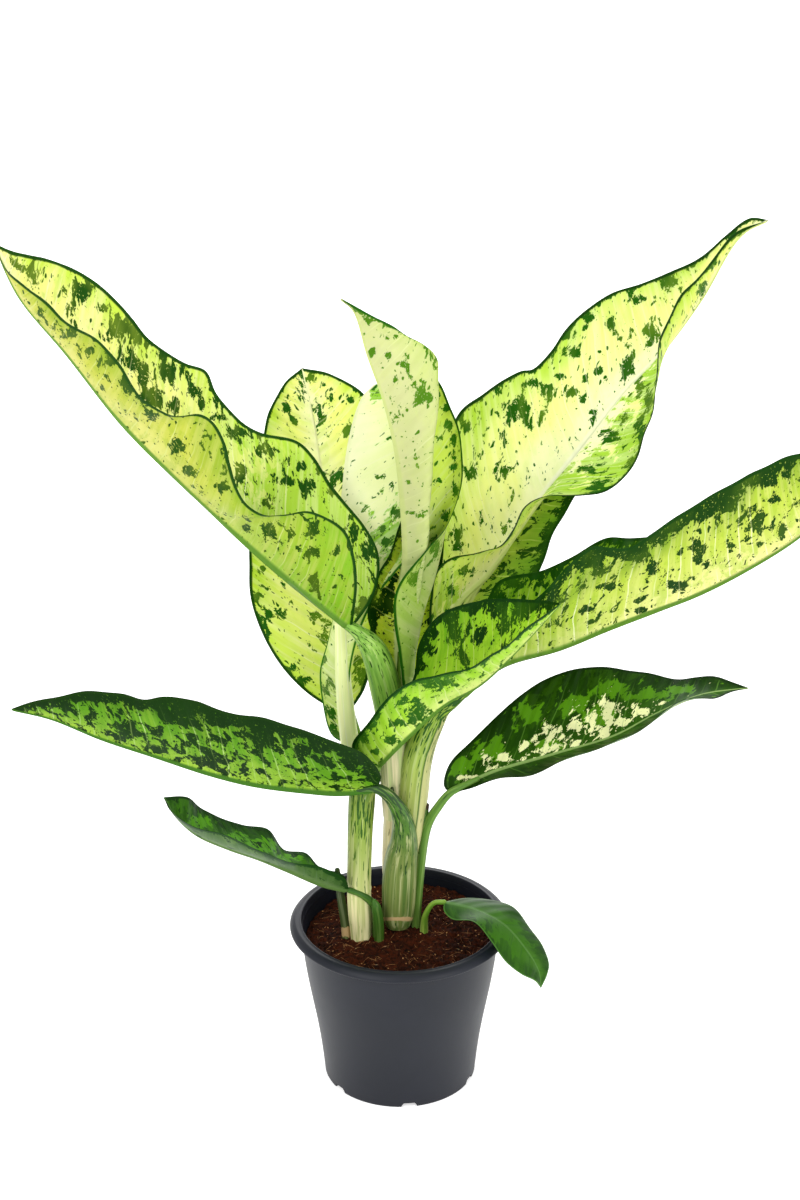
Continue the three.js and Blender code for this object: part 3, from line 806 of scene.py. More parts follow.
@dataclass(frozen=True)
class PotFinish:
    """Satin moulded plastic with a fine grain and faint dust."""

    body: str = "0f131d"
    worn: str = "191c27"
    rough: float = 0.46

    def material(self, name: str) -> bpy.types.Material:
        """Builds the finish.

        Args:
            name: the material's name.

        Returns:
            The material.
        """
        material, g, out = new_material(name)
        place = g.node("ShaderNodeTexCoord").outputs["Object"]
        dust = g.noise(place, 16, 4.0, 0.6)
        grain = g.noise(place, 1400, 2.0)
        drawn = g.noise(g.stretch(place, (1, 1, 0.08)), 260, 2.0)
        wear = g.times(g.band(dust, 0.4, 0.75), 0.5)
        rough = g.plus(self.rough - 0.06, g.times(dust, 0.14))
        bump = g.bump(g.plus(g.times(grain, 0.5), drawn), 0.12, 0.3 * MM)
        colour = g.mix(wear, linear(self.body), linear(self.worn))
        g.feed(out.inputs[0], g.skin(colour, rough, 0.3, bump))
        return material


@dataclass(frozen=True)
class SoilFinish:
    """Crumbly coir: dark and red-brown crumbs, with painted shade in the hollows between them and their
    raised tops painted lighter, and tan fibres that are pieces of their own.
    """

    dark: str = "130602"
    light: str = "461c08"
    speck: str = "a87a4e"
    specks: float = 0.06
    rough: float = 0.92

    def material(self, name: str) -> bpy.types.Material:
        """Builds the finish.

        Args:
            name: the material's name.

        Returns:
            The material.
        """
        material, g, out = new_material(name)
        place = g.node("ShaderNodeTexCoord").outputs["Object"]
        crumbs = g.noise(place, 300, 5.0, 0.72)
        tone = g.noise(place, 45, 3.0)
        # Partly random crumb tone and partly painted shade: the colour follows the bump height of the crumbs,
        # so it is dark in the hollows and light on the raised tops.
        crumb_tone_and_painted_shade = g.band(g.plus(crumbs, g.times(tone, 0.4)), 0.52, 0.92)
        colour = g.mix(crumb_tone_and_painted_shade, linear(self.dark), linear(self.light))
        cell = g.cells(place, 420)
        pick = g.node("ShaderNodeSeparateColor", {0: cell.outputs["Color"]}).outputs[0]
        chosen = g.math("LESS_THAN", pick, self.specks)
        speck = g.times(chosen, g.math("LESS_THAN", cell.outputs["Distance"], 0.3))
        colour = g.mix(speck, colour, linear(self.speck))
        bump = g.bump(crumbs, 0.9, 2 * MM)
        g.feed(out.inputs[0], g.skin(colour, self.rough, 0.1, bump))
        return material


# ------------------------------------------------------------------ leaves


@dataclass(frozen=True)
class Outline:
    """The lines of one blade as places in the photo.

    left and right are the rails of its halves as seen on the upper face: the margin alone, or an inner
    rail and then the margin, each without the base and the tip. lean is how many millimetres further
    back the tip lies than its depth says. bow is how far each half sags, as a share of its width.
    """

    base: Place
    tip: Place
    midrib: Places
    left: tuple[Places, ...]
    right: tuple[Places, ...]
    lean: float = 0.0
    bow: tuple[float, float] = (0.1, 0.1)


@dataclass
class Leaf:
    """One blade: its outline, its marks and its finish.

    Marks and patches are (across, down, width, height) in the photo. Marks lie on the left or the right
    half. A patch is of the face's patch colour, on the half of its fifth number: -1 left, 1 right, 0 both.
    A vein leaves the midrib at a slant and bends on towards the tip by curl. rib is the midrib's size at
    the base. Its height and widths are counted in ribs, and it rises over the first rib_start of the leaf.
    """

    name: str
    slot: Slot
    finish: LeafFinish
    outline: Outline
    left_marks: Places = ()
    right_marks: Places = ()
    patches: Places = ()
    rib: float = 2.8 * MM
    rib_taper: float = 0.78
    rib_height: float = 1.5
    rib_width: float = 1.1
    rib_shown: float = 1.25
    rib_start: float = 0.02
    thickness: float = 0.7 * MM
    thin_edge: float = 4 * MM
    ripple: float = 0.6 * MM
    ripple_length: float = 42 * MM
    ripple_width: float = 30 * MM
    slant: float = 0.55
    curl: float = 3.0
    vein_length: float = 1.14
    rows: int = 200
    columns: int = 34
    seed: int = 1

    def line(self, places: Places, count: int) -> Array:
        """A line of the leaf in space, from base to tip, moved back by lean * share^1.2.

        Args:
            places: its places between the base and the tip.
            count: how many points to return.

        Returns:
            Evenly spaced points.
        """
        flat = np.array([self.outline.base, *places, self.outline.tip], float)
        way = flat[-1, :2] - flat[0, :2]
        share = np.clip((flat[:, :2] - flat[0, :2]) @ way / (way @ way), 0, 1)
        flat[:, 2] += self.outline.lean * share**LEAN_POWER
        return even_curve(CAMERA.in_space(flat), count)

    def half(self, midrib: Array, rails: tuple[Places, ...], bow: float, turn: int) -> Array:
        """One half as rows by columns of points.

        Across a row the half is a quadratic curve: (1-v)^2 midrib + 2v(1-v) pull + v^2 margin. The pull
        is the middle lowered by bow times the width, or set so that the curve meets the inner rail.

        Args:
            midrib: the midrib's points.
            rails: the margin, or an inner rail and the margin.
            bow: how far the half sags.
            turn: 1 on the right of the upper face and -1 on the left.

        Returns:
            The grid from midrib to margin.
        """
        margin = self.line(rails[-1], self.rows)
        out = margin - midrib
        normal = unit(turn * np.cross(out, np.gradient(midrib, axis=0)))
        pull = (midrib + margin) / 2
        if len(rails) > 1:
            pull = 2 * self.line(rails[0], self.rows) - pull
        else:
            pull = pull - normal * np.linalg.norm(out, axis=1, keepdims=True) * bow
        v = np.linspace(0, 1, self.columns)[None, :, None]
        return (1 - v) ** 2 * midrib[:, None] + 2 * v * (1 - v) * pull[:, None] + v**2 * margin[:, None]

    def sheet(self) -> tuple[Array, Array]:
        """The blade's middle surface from left margin to right margin, and its midrib.

        Returns:
            The surface as rows by columns of points, and the points of its middle column.
        """
        midrib = self.line(self.outline.midrib, self.rows)
        left = self.half(midrib, self.outline.left, self.outline.bow[0], -1)
        right = self.half(midrib, self.outline.right, self.outline.bow[1], 1)
        return np.concatenate([left[:, :0:-1], right], axis=1), midrib

    def vein_places(self, sheet: Array, midrib: Array) -> tuple[Array, Array, Array]:
        """The vein that each point lies on: it starts at along - slant * across - curl * across^2.

        Args:
            sheet: the blade's middle surface.
            midrib: the midrib's points.

        Returns:
            Where the vein starts on the midrib, how far along it the point is, and the side: -1, 0 or 1.
        """
        mid = self.columns - 1
        run = np.r_[0, np.cumsum(np.linalg.norm(np.diff(midrib, axis=0), axis=1))]
        tangent = unit(np.gradient(midrib, axis=0))
        forward = np.einsum("ijk,ik->ij", sheet - midrib[:, None], tangent)
        across = self.across(sheet)
        straight = np.sqrt(np.maximum(across**2 - forward**2, 0))
        start = run[:, None] + forward - self.slant * straight - self.curl * straight**2
        side = np.sign(np.arange(sheet.shape[1]) - mid)[None, :] * np.ones((self.rows, 1))
        return start, straight * self.vein_length, side

    def across(self, sheet: Array) -> Array:
        """How far each point is from the midrib, measured along its row.

        Args:
            sheet: the blade's middle surface.

        Returns:
            Distances in metres, in rows by columns.
        """
        mid = self.columns - 1
        steps = np.linalg.norm(np.diff(sheet, axis=1), axis=2)
        run = np.concatenate([np.zeros((self.rows, 1)), np.cumsum(steps, axis=1)], axis=1)
        return np.abs(run - run[:, mid : mid + 1])

    def edge_distance(self, sheet: Array, across: Array) -> Array:
        """How far each point is from its margin: the rest of its row times the sine of the angle there.

        Args:
            sheet: the blade's middle surface.
            across: how far each point is from the midrib.

        Returns:
            Distances in metres.
        """
        halves = (self.columns, self.columns - 1)
        width = np.repeat(across[:, [0, -1]], halves, axis=1)
        sines = []
        for margin, inside in ((sheet[:, 0], sheet[:, 1]), (sheet[:, -1], sheet[:, -2])):
            way, along = unit(margin - inside), unit(np.gradient(margin, axis=0))
            sines.append(np.linalg.norm(np.cross(way, along), axis=1, keepdims=True))
        sine = np.repeat(np.hstack(sines), halves, axis=1)
        return np.maximum(width - across, 0) * np.maximum(sine, 0.25)

    def bells(self, sheet: Array, side: Array, spots: Places) -> Array:
        """Spots as one smooth field: each is a bell over an ellipse in the photo, 0.5 at its edge.

        Args:
            sheet: the blade's middle surface.
            side: -1 on the left half and 1 on the right.
            spots: (across, down, width, height, half) each.

        Returns:
            The highest bell at each point.
        """
        if not spots:
            return np.zeros(sheet.shape[:2])
        seen = CAMERA.in_photo(sheet)
        m = np.array(spots, float)[:, None, None, :]
        far = ((seen[None, ..., 0] - m[..., 0]) / (m[..., 2] / 2)) ** 2
        far = far + ((seen[None, ..., 1] - m[..., 1]) / (m[..., 3] / 2)) ** 2
        return (np.exp(-HALF * far) * (side[None] * m[..., 4] >= 0)).max(axis=0)

    @staticmethod
    def wrapped(over: Array, under: Array) -> Array:
        """Rows that run over the blade and back under it, without the two that close it."""
        return np.concatenate([over, under[:, ::-1]], axis=1)[1:-1]

    def solid(self) -> Solid:
        """The blade as a thin closed sheet with its midrib raised below.

        Its margins ripple as a sine of the place along the midrib, and it thins towards them.

        Returns:
            The body. Its blade attribute holds the distance from the edge, the share across and the
            distance from the midrib in ribs, vein the place on its vein, face the marks, the face and
            the share along, and tone the patches.
        """
        sheet, midrib = self.sheet()
        start, far, side = self.vein_places(sheet, midrib)
        across = self.across(sheet)
        width = np.maximum(across.max(axis=1, keepdims=True), 1e-6)
        share = np.abs(np.arange(sheet.shape[1]) - (self.columns - 1))[None, :] / (self.columns - 1)
        share = share * np.ones((self.rows, 1))
        along = np.linspace(0, 1, self.rows)[:, None]
        normal = unit(np.cross(np.gradient(sheet, axis=1), np.gradient(sheet, axis=0)))
        wave = np.sin(2 * np.pi * (start + 0.4 * side) / self.ripple_length) * share**2
        sheet = sheet + normal * (self.ripple * wave * np.minimum(width / self.ripple_width, 1))[..., None]
        edge = self.edge_distance(sheet, across)
        rib = self.rib * (1 - self.rib_taper * along)
        ridge = self.rib_height * rib * np.exp(-((across / (self.rib_width * rib)) ** 2))
        ridge = ridge * smooth(along, 0.0, self.rib_start)
        thick = self.thickness * (0.5 + 0.5 * smooth(edge, 0, self.thin_edge))
        over = sheet + normal * (thick / 2)[..., None]
        under = sheet - normal * (thick / 2 + ridge)[..., None]
        marks = (*((*m, -1) for m in self.left_marks), *((*m, 1) for m in self.right_marks))
        mark = self.bells(sheet, side, marks)
        zone = np.stack([self.bells(sheet, side, self.patches), side, share], -1)
        shape = np.ones_like(start)
        blade = np.stack([edge, share, across / (self.rib_shown * rib)], -1)
        vein = np.stack([start + 0.37 * (side > 0) + self.seed, far, self.seed * shape], -1)
        faces = [np.stack([mark, s * shape, along * shape], -1) for s in (1.0, 0.0)]
        wrapped = self.wrapped
        attributes = {"blade": wrapped(blade, blade), "vein": wrapped(vein, vein)}
        attributes |= {"face": wrapped(*faces), "tone": wrapped(zone, zone)}
        return Solid.loft(wrapped(over, under), midrib[0], midrib[-1], attributes)

    def build(self) -> None:
        """Makes the blade and dresses it."""
        made = self.solid().object(f"blade_{self.name}", self.finish.material(f"leaf_{self.name}"))
        fit(made, self.slot, f"leaf_{self.name}")


# ------------------------------------------------------------------ stems


@dataclass
class Stem:
    """One round stem: (across, down, depth, radius) places, its finish and its marks.

    Marks are (across, down, width, height) in the photo. root is how far it runs straight down from its
    first place, and seat how far on from its last. rings are the shares of its length at which an old
    leaf's scar runs round it. A nub, the free end of a sheath, is no node of its own.
    """

    name: str
    slot: Slot
    finish: StemFinish
    places: Places
    marks: Places = ()
    root: float = 0.0
    seat: float = 0.0
    rings: tuple[float, ...] = ()
    groove: float = 0.0
    scar: float = 0.06
    scar_width: float = 1.2 * MM
    swelling: float = 0.018
    rounding: float = 1.5 * MM
    node: bool = True
    rows: int = 150
    sides: int = 44
    seed: int = 1

    def line(self) -> Array:
        """The stem's middle line and its radius, evenly spaced, as rows of x, y, z, radius.

        Returns:
            The line, with the foot run down by root and the top run on by seat.
        """
        flat = np.array(self.places, float)
        line = np.column_stack([CAMERA.in_space(flat[:, :3]), flat[:, 3] * MM])
        if self.root:
            foot = line[0] * [1, 1, 1, 0.93] - [0, 0, self.root, 0]
            line = np.vstack([foot, line])
        if self.seat:
            way = unit(line[-1, :3] - line[-2, :3]) * self.seat
            line = np.vstack([line, [*(line[-1, :3] + way), 0.9 * line[-1, 3]]])
        return even_curve(line, self.rows)

    def solid(self) -> Solid:
        """The stem as rings round its line: radius times 1 plus scars, soft swellings and a groove.

        Returns:
            The body. Its stem attribute is a place along it, and stem_data holds the share of its length,
            its marks and how far a point lies to the right.
        """
        line = self.line()
        run = np.r_[0, np.cumsum(np.linalg.norm(np.diff(line[:, :3], axis=0), axis=1))]
        share = run / run[-1]
        tangent = unit(np.gradient(line[:, :3], axis=0))
        side = unit(np.cross(tangent, [0.0, 1.0, 0.0]))
        other = np.cross(side, tangent)
        turn = np.linspace(0, 2 * np.pi, self.sides, endpoint=False)
        sway = waves(run[:, None] / 0.02 + np.cos(turn), np.sin(turn) + 0 * run[:, None], self.seed, 2.5)
        scale = 1 + self.swelling * sway - self.groove * np.exp(-(((turn - 1.5 * np.pi) / 0.35) ** 2))
        for ring in self.rings:
            scale = scale + self.scar * np.exp(-(((share - ring) * run[-1] / self.scar_width) ** 2))[:, None]
        end = np.sqrt(np.clip(1 - ((run - run[-1]) / self.rounding + 1).clip(0) ** 2, 0.05, 1))
        radius = (line[:, 3] * end)[:, None] * scale
        spoke = np.cos(turn)[None, :, None] * side[:, None] + np.sin(turn)[None, :, None] * other[:, None]
        rings = line[:, None, :3] + radius[..., None] * spoke
        flat = np.ones_like(radius)
        place = np.stack([radius * np.cos(turn), radius * np.sin(turn), run[:, None] * flat], -1)
        place = place + self.seed * np.array([0.31, 0.17, 0.43])
        seen = CAMERA.in_photo(rings)
        mark = np.zeros(radius.shape)
        for across, down, width, height in self.marks:
            far = ((seen[..., 0] - across) * 2 / width) ** 2 + ((seen[..., 1] - down) * 2 / height) ** 2
            mark = np.maximum(mark, np.exp(-HALF * far) * (spoke[..., 1] < 0))
        data = np.stack([share[:, None] * flat, mark, spoke[..., 0]], -1)
        return Solid.loft(rings, line[0, :3], line[-1, :3], {"stem": place, "stem_data": data})

    def build(self) -> None:
        """Makes the stem and dresses it."""
        material = self.finish.material(f"skin_{self.name}")
        nodes = (self.name,) if self.node else ()
        fit(self.solid().object(f"stem_{self.name}", material), self.slot, *nodes)


# ------------------------------------------------------------------ the pot and its soil


@dataclass
class Pot:
    """A moulded nursery pot: a swelling taper, a rolled collar, a small foot and drain notches."""

    finish: PotFinish = PotFinish()
    height: float = 143 * MM
    rim: float = 90 * MM
    lip: float = 85.2 * MM
    mouth: float = 80.5 * MM
    wall_top: float = 81.4 * MM
    foot: float = 62.5 * MM
    bevel: float = 2.5 * MM
    wall: float = 1.8 * MM
    swell: float = 0.9 * MM
    floor: float = 2.4 * MM
    arch: float = 0.6 * MM
    collar: float = 6.5 * MM
    notches: int = 6
    notch_width: float = 13 * MM
    notch_height: float = 4 * MM
    notch_depth: float = 9 * MM
    notch_start: float = math.radians(-83)
    sharp: float = 40.0
    sides: int = 360

    @staticmethod
    def steps(radius: float, height: float, *by: Place) -> list[Place]:
        """Places given as steps, outwards and up in millimetres, from a radius and a height."""
        return [(radius + out * MM, height + up * MM) for out, up in by]

    def outer_wall(self, levels: int = 48) -> Array:
        """Radius and height up the wall: a straight taper less swell times sin(2 pi share).

        Args:
            levels: how many places to return.

        Returns:
            Rows of radius and height, from the foot to the collar.
        """
        share = np.linspace(0, 1, levels)
        radius = self.foot + (self.wall_top - self.foot) * share - self.swell * np.sin(2 * np.pi * share)
        top = self.height - self.collar
        return np.column_stack([radius, self.bevel + (top - self.bevel) * share])

    def profile(self) -> Array:
        """Radius and height from the middle of the underside, round the collar, to the inner floor.

        Returns:
            Rows of radius and height.
        """
        top, under = self.height, self.height - self.collar
        foot = self.steps(self.foot, 0, (-8, 0.6), (-5, 0), (-1.2, 0), (-0.5, 0.3), (-0.1, 1.1))
        ledge = self.steps(self.wall_top, under, (0.4, -0.1), (1.4, 0.2))
        ledge += self.steps(self.rim, under, (-1.2, 0), (-0.5, 0.1), (-0.1, 0.5))
        turn = np.linspace(0, np.pi / 2, 9)[:4]
        bend = [(1.1 * math.cos(a) - 1.1, 1.2 + 1.6 * math.sin(a)) for a in turn]
        shoulder = self.steps(self.rim, under, *bend)
        shoulder += self.steps(self.rim, top, (-1.5, -2.6), (-2.9, -1.25))
        lip = self.steps(self.lip, top, (0.4, -0.5), (-0.4, -0.25), (-1.6, -0.5))
        lip += self.steps(self.mouth, top, (1.6, -0.3), (0.9, 0), (0.3, -0.2), (0, -0.9))
        lip += self.steps(self.mouth, under, (-0.6, 0))
        inner = self.outer_wall(16)[::-1] - [self.wall, 0]
        inner[-1, 1] = self.floor
        rows = [(0.4 * MM, self.arch), *foot, *self.outer_wall(), *ledge, *shoulder, *lip, *inner]
        return np.array([*rows, (0.4 * MM, self.floor)])

    def solid(self) -> Solid:
        """The pot: its profile turned round, with the underside arched up at each notch.

        Returns:
            The body.
        """
        profile = self.profile()
        turn = np.linspace(0, 2 * np.pi, self.sides, endpoint=False)
        radius, height = profile[:, 0, None], profile[:, 1, None] + 0 * turn
        step = 2 * np.pi / self.notches
        off = ((turn - self.notch_start + step / 2) % step - step / 2) * self.foot
        notch = smooth(1 - np.abs(off) / (self.notch_width / 2), 0, 0.25) * self.notch_height
        low = (height < notch) & (radius > self.foot - self.notch_depth)
        height = np.where(low, notch, height)
        rings = np.stack([radius * np.cos(turn), radius * np.sin(turn), height], -1)
        inside = np.array([0, 0, self.floor])
        return Solid.loft(rings, np.array([0, 0, self.arch]), inside)

    def build(self) -> None:
        """Makes the pot and dresses it."""
        made = self.solid().object("pot_body", self.finish.material("pot_plastic"), self.sharp)
        fit(made, Slot.POT, "pot")


@dataclass
class Soil:
    """Coir that fills the pot, low at the front left and high at the back right, heaped round the canes.

    Each of bumps is a height and a length in millimetres, a seed and a number of waves. The crests are
    the same, turned up where they would be hollows.
    """

    pot: Pot
    finish: SoilFinish = SoilFinish()
    level: float = 123 * MM
    mound: float = 7 * MM
    heap: float = 7 * MM
    heap_reach: float = 42 * MM
    radius: float = 77.3 * MM
    gap: float = 0.3 * MM
    bumps: Places = ((0.8, 50, 3, 14), (0.7, 12, 4, 30), (0.45, 5, 5, 40))
    crests: Place = (0.3, 2.5, 6, 40)
    crumb: float = 1.6 * MM
    crumbs: int = 900
    fibres: int = 420
    sides: int = 420
    rings: int = 150

    def height_at(self, x: Array, y: Array) -> Array:
        """Height of the surface: a smooth rise along 0.6 x + 0.8 y, a bell at the canes and bumps.

        Args:
            x: places to the right.
            y: places to the back.

        Returns:
            Heights above the floor.
        """
        rise = smooth(0.6 * x + 0.8 * y, -30 * MM, 70 * MM)
        rise = rise + self.heap / self.mound * np.exp(-((x + 12 * MM) ** 2 + y**2) / self.heap_reach**2)
        bumps = [high * MM * waves(x, y, seed, size * MM, count) for high, size, seed, count in self.bumps]
        high, size, seed, count = self.crests
        crests = high * MM * np.abs(waves(x, y, seed, size * MM, count))
        return self.level + self.mound * rise + sum(bumps) + crests

    def ground(self) -> Solid:
        """The fill: rings up the wall, then in over the surface to its middle.

        Returns:
            The body.
        """
        wall = self.pot.outer_wall(12)
        wall = wall[wall[:, 1] < self.level - 4 * MM] - [self.pot.wall + self.gap, 0]
        wall[0, 1] = self.pot.floor + self.gap
        turn = np.linspace(0, 2 * np.pi, self.sides, endpoint=False)
        share = np.linspace(1, 0.004, self.rings)
        x = self.radius * share[:, None] * np.cos(turn)
        y = self.radius * share[:, None] * np.sin(turn)
        top = np.stack([x, y, self.height_at(x, y)], -1)
        out, up = wall[:, :1], wall[:, 1:]
        side = np.stack([out * np.cos(turn), out * np.sin(turn), up + 0 * turn], -1)
        middle = np.zeros(2)
        peak = np.array([0, 0, float(self.height_at(middle[:1], middle[:1])[0])])
        return Solid.loft(np.concatenate([side, top]), np.array([0, 0, self.pot.floor + self.gap]), peak)

    def scattered(self, count: int, seed: int, reach: float) -> tuple[Array, np.random.Generator]:
        """Places spread evenly at random over the surface.

        Args:
            count: how many.
            seed: which ones.
            reach: how far out they go, as a share of the radius.

        Returns:
            Rows of x, y, z, and the random generator that they came from.
        """
        chance = np.random.default_rng(seed)
        radius = reach * self.radius * np.sqrt(chance.uniform(0, 1, count))
        turn = chance.uniform(0, 2 * np.pi, count)
        x, y = radius * np.cos(turn), radius * np.sin(turn)
        return np.column_stack([x, y, self.height_at(x, y)]), chance

    def crumb_pieces(self) -> Solid:
        """Loose crumbs: octahedra stretched at random and half sunk in the surface.

        Returns:
            All crumbs as one mesh.
        """
        places, chance = self.scattered(self.crumbs, 7, 0.965)
        size = self.crumb * chance.uniform(0.35, 1, (self.crumbs, 1)) ** 1.6
        corners = np.array([(1, 0, 0), (0, 1, 0), (-1, 0, 0), (0, -1, 0), (0, 0, 1), (0, 0, -1)], float)
        turn = chance.uniform(0, np.pi, self.crumbs)
        stretch = chance.uniform(0.6, 1.3, (self.crumbs, 3))
        c, s = np.cos(turn), np.sin(turn)
        own = corners[None] * stretch[:, None] * size[:, None]
        x = own[..., 0] * c[:, None] - own[..., 1] * s[:, None]
        y = own[..., 0] * s[:, None] + own[..., 1] * c[:, None]
        points = np.stack([x, y, own[..., 2]], -1) + places[:, None]
        upper = [(0, 1, 4), (1, 2, 4), (2, 3, 4), (3, 0, 4)]
        faces = np.array(upper + [(b, a, 5) for a, b, _ in upper])
        triangles = (faces[None] + 6 * np.arange(self.crumbs)[:, None, None]).reshape(-1, 3)
        return Solid(points.reshape(-1, 3), np.zeros((0, 4), int), triangles)

    def fibre_pieces(self) -> Solid:
        """Fibres: thin three-sided strands that arc over the surface, pointed at both ends.

        Returns:
            All fibres as one mesh.
        """
        places, chance = self.scattered(self.fibres, 8, 0.93)
        steps, sides = 7, 3
        length = chance.uniform(4, 15, self.fibres) * MM
        heading = chance.uniform(0, 2 * np.pi, self.fibres)
        curl = chance.uniform(-1.6, 1.6, self.fibres)
        run = np.linspace(-0.5, 0.5, steps)
        way = heading[:, None] + curl[:, None] * run
        x = places[:, :1] + np.cumsum(np.cos(way), 1) * length[:, None] / steps
        y = places[:, 1:2] + np.cumsum(np.sin(way), 1) * length[:, None] / steps
        inside = np.minimum(1, 0.95 * self.radius / np.maximum(np.hypot(x, y), 1e-6))
        x, y = x * inside, y * inside
        lift = 0.9 * MM * chance.uniform(-0.2, 1.6, (self.fibres, 1)) * (1 - (2 * run) ** 2)
        line = np.stack([x, y, self.height_at(x, y) * 0.5 + places[:, 2:] * 0.5 + lift], -1)
        thick = chance.uniform(0.1, 0.28, (self.fibres, 1)) * MM * (1 - 0.85 * np.abs(2 * run))
        angle = np.linspace(0, 2 * np.pi, sides, endpoint=False)
        across = np.stack([-np.sin(way), np.cos(way), 0 * way], -1)
        up = np.array([0.0, 0.0, 1.0])
        ring = across[..., None, :] * np.cos(angle)[:, None] + up * np.sin(angle)[:, None]
        points = line[..., None, :] + thick[..., None, None] * ring
        at = (np.arange(steps - 1) * sides)[:, None]
        k = np.arange(sides)
        after = np.roll(k, -1)
        quads = np.stack([at + k, at + after, at + sides + after, at + sides + k], -1).reshape(-1, 4)
        last = (steps - 1) * sides
        caps = np.array([(2, 1, 0), (last, last + 1, last + 2)])
        shift = (steps * sides * np.arange(self.fibres))[:, None, None]
        walls, ends = (quads[None] + shift).reshape(-1, 4), (caps[None] + shift).reshape(-1, 3)
        return Solid(points.reshape(-1, 3), walls, ends)

    def build(self) -> None:
        """Makes the fill, its crumbs and its fibres."""
        earth = self.finish.material("coir")
        fit(self.ground().object("soil_fill", earth), Slot.SOIL, "soil")
        fit(self.crumb_pieces().object("soil_crumbs", earth), Slot.SOIL)
        tan = SoilFinish(dark="5c2f18", light="a87c50", speck="e2c9a2", rough=0.8).material("coir_fibre")
        fit(self.fibre_pieces().object("soil_fibres", tan), Slot.SOIL)


# ------------------------------------------------------------------ the studio


@dataclass(frozen=True)
class Lamp:
    """A soft square light that faces the plant."""

    name: str
    place: tuple[float, float, float]
    size: float
    power: float
    aim: tuple[float, float, float] = (0.0, 0.0, 0.35)

    def build(self) -> None:
        """Hangs the light."""
        data = bpy.data.lights.new(self.name, "AREA")
        data.shape, data.size, data.energy = "SQUARE", self.size, self.power
        lamp = bpy.data.objects.new(self.name, data)
        lamp.location = self.place
        way = np.array(self.place) - np.array(self.aim)
        tilt = math.acos(way[2] / np.linalg.norm(way))
        lamp.rotation_euler = (tilt, 0, math.atan2(way[1], way[0]) + math.pi / 2)
        bpy.context.scene.collection.objects.link(lamp)


@dataclass(frozen=True)
class Studio:
    """A white floor under white, even light."""

    lamps: tuple[Lamp, ...] = (
        Lamp("key", (-1.3, -1.8, 1.9), 1.3, 29),
        Lamp("fill", (1.6, -1.7, 1.2), 1.3, 22),
        Lamp("top", (0.1, 0.4, 2.6), 1.6, 20),
        Lamp("back", (0.0, 2.4, 1.1), 2.0, 24),
    )
    sky: float = 0.8
    glow: float = 0.5
    reach: float = 12.0

    def build(self) -> None:
        """Makes the floor, the sky and the lamps."""
        mesh = bpy.data.meshes.new("floor")
        corners = [(x * self.reach, y * self.reach, 0) for x, y in ((-1, -1), (1, -1), (1, 1), (-1, 1))]
        mesh.from_pydata(corners, [], [(0, 1, 2, 3)])
        material, g, out = new_material("floor")
        white = g.node("ShaderNodeBsdfPrincipled", {"Base Color": (0.9, 0.9, 0.9, 1), "Roughness": 0.9})
        white.inputs["Emission Color"].default_value = (1, 1, 1, 1)
        white.inputs["Emission Strength"].default_value = self.glow
        g.feed(out.inputs[0], white.outputs[0])
        mesh.materials.append(material)
        floor = bpy.data.objects.new("floor", mesh)
        bpy.context.scene.collection.objects.link(floor)
        world = bpy.data.worlds.new("studio")
        world.use_nodes = True
        background = world.node_tree.nodes["Background"]
        background.inputs[0].default_value = (1, 1, 1, 1)
        background.inputs[1].default_value = self.sky
        bpy.context.scene.world = world
        for lamp in self.lamps:
            lamp.build()
        view = bpy.context.scene.view_settings
        view.view_transform, view.look = "Standard", "None"


# ------------------------------------------------------------------ outlines read off the photo

LEFT_LONG = Outline(
    base=(352, 629, -12), tip=(-6, 243, -58), lean=-55, bow=(0.12, 0.14),
    midrib=(
        (293, 582, -22), (249, 544, -30), (176, 476, -38), (123, 423, -44), (67, 353, -50),
        (20, 297, -54),
    ),
    left=((
        (355, 606, -26), (357, 585, -34), (355, 560, -42), (347, 534, -50), (330, 519, -58),
        (308, 512, -62), (285, 514, -65), (265, 516, -66), (250, 507, -67), (238, 490, -69),
        (230, 465, -71), (225, 443, -73), (214, 423, -75), (200, 415, -76), (170, 415, -78),
        (148, 403, -79), (132, 385, -80), (117, 360, -79), (100, 342, -78), (80, 330, -76),
        (62, 318, -73), (42, 298, -69), (25, 286, -65), (8, 272, -60),
    ),),
    right=((
        (372, 599, -4), (379, 575, 2), (378, 552, 7), (366, 528, 9), (345, 502, 10), (330, 483, 12),
        (314, 457, 12), (297, 441, 12), (262, 433, 12), (246, 425, 11), (230, 410, 9), (216, 393, 6),
        (206, 371, 3), (185, 363, 0), (165, 351, -4), (148, 338, -7), (132, 318, -11), (112, 296, -16),
        (90, 278, -22), (60, 263, -30), (30, 255, -42), (12, 251, -50),
    ),),
)
LEFT_BACK = Outline(
    base=(350, 712, 38), tip=(302, 368, 118), lean=25, bow=(0.08, 0.08),
    midrib=(
        (346, 660, 48), (336, 570, 68), (322, 480, 92), (312, 415, 108),
    ),
    left=((
        (320, 702, 36), (283, 668, 36), (254, 612, 44), (249, 560, 54), (256, 490, 72), (268, 415, 92),
        (285, 383, 106),
    ),),
    right=((
        (364, 690, 42), (371, 664, 50), (374, 600, 62), (380, 520, 76), (382, 450, 90), (366, 397, 104),
        (330, 374, 114),
    ),),
)
CENTRE_BACK = Outline(
    base=(348, 745, 0), tip=(376, 384, 48), bow=(0.08, 0.1),
    midrib=(
        (344, 690, 6), (341, 622, 14), (341, 560, 22), (344, 492, 30), (350, 440, 38), (362, 400, 44),
    ),
    left=((
        (352, 660, 2), (372, 604, 6), (396, 572, 10), (416, 548, 14), (424, 490, 20), (418, 430, 30),
        (398, 392, 42),
    ),),
    right=((
        (332, 735, 6), (323, 705, 12), (320, 672, 18), (328, 640, 24), (346, 560, 38), (352, 490, 52),
        (362, 430, 54), (370, 398, 52),
    ),),
)
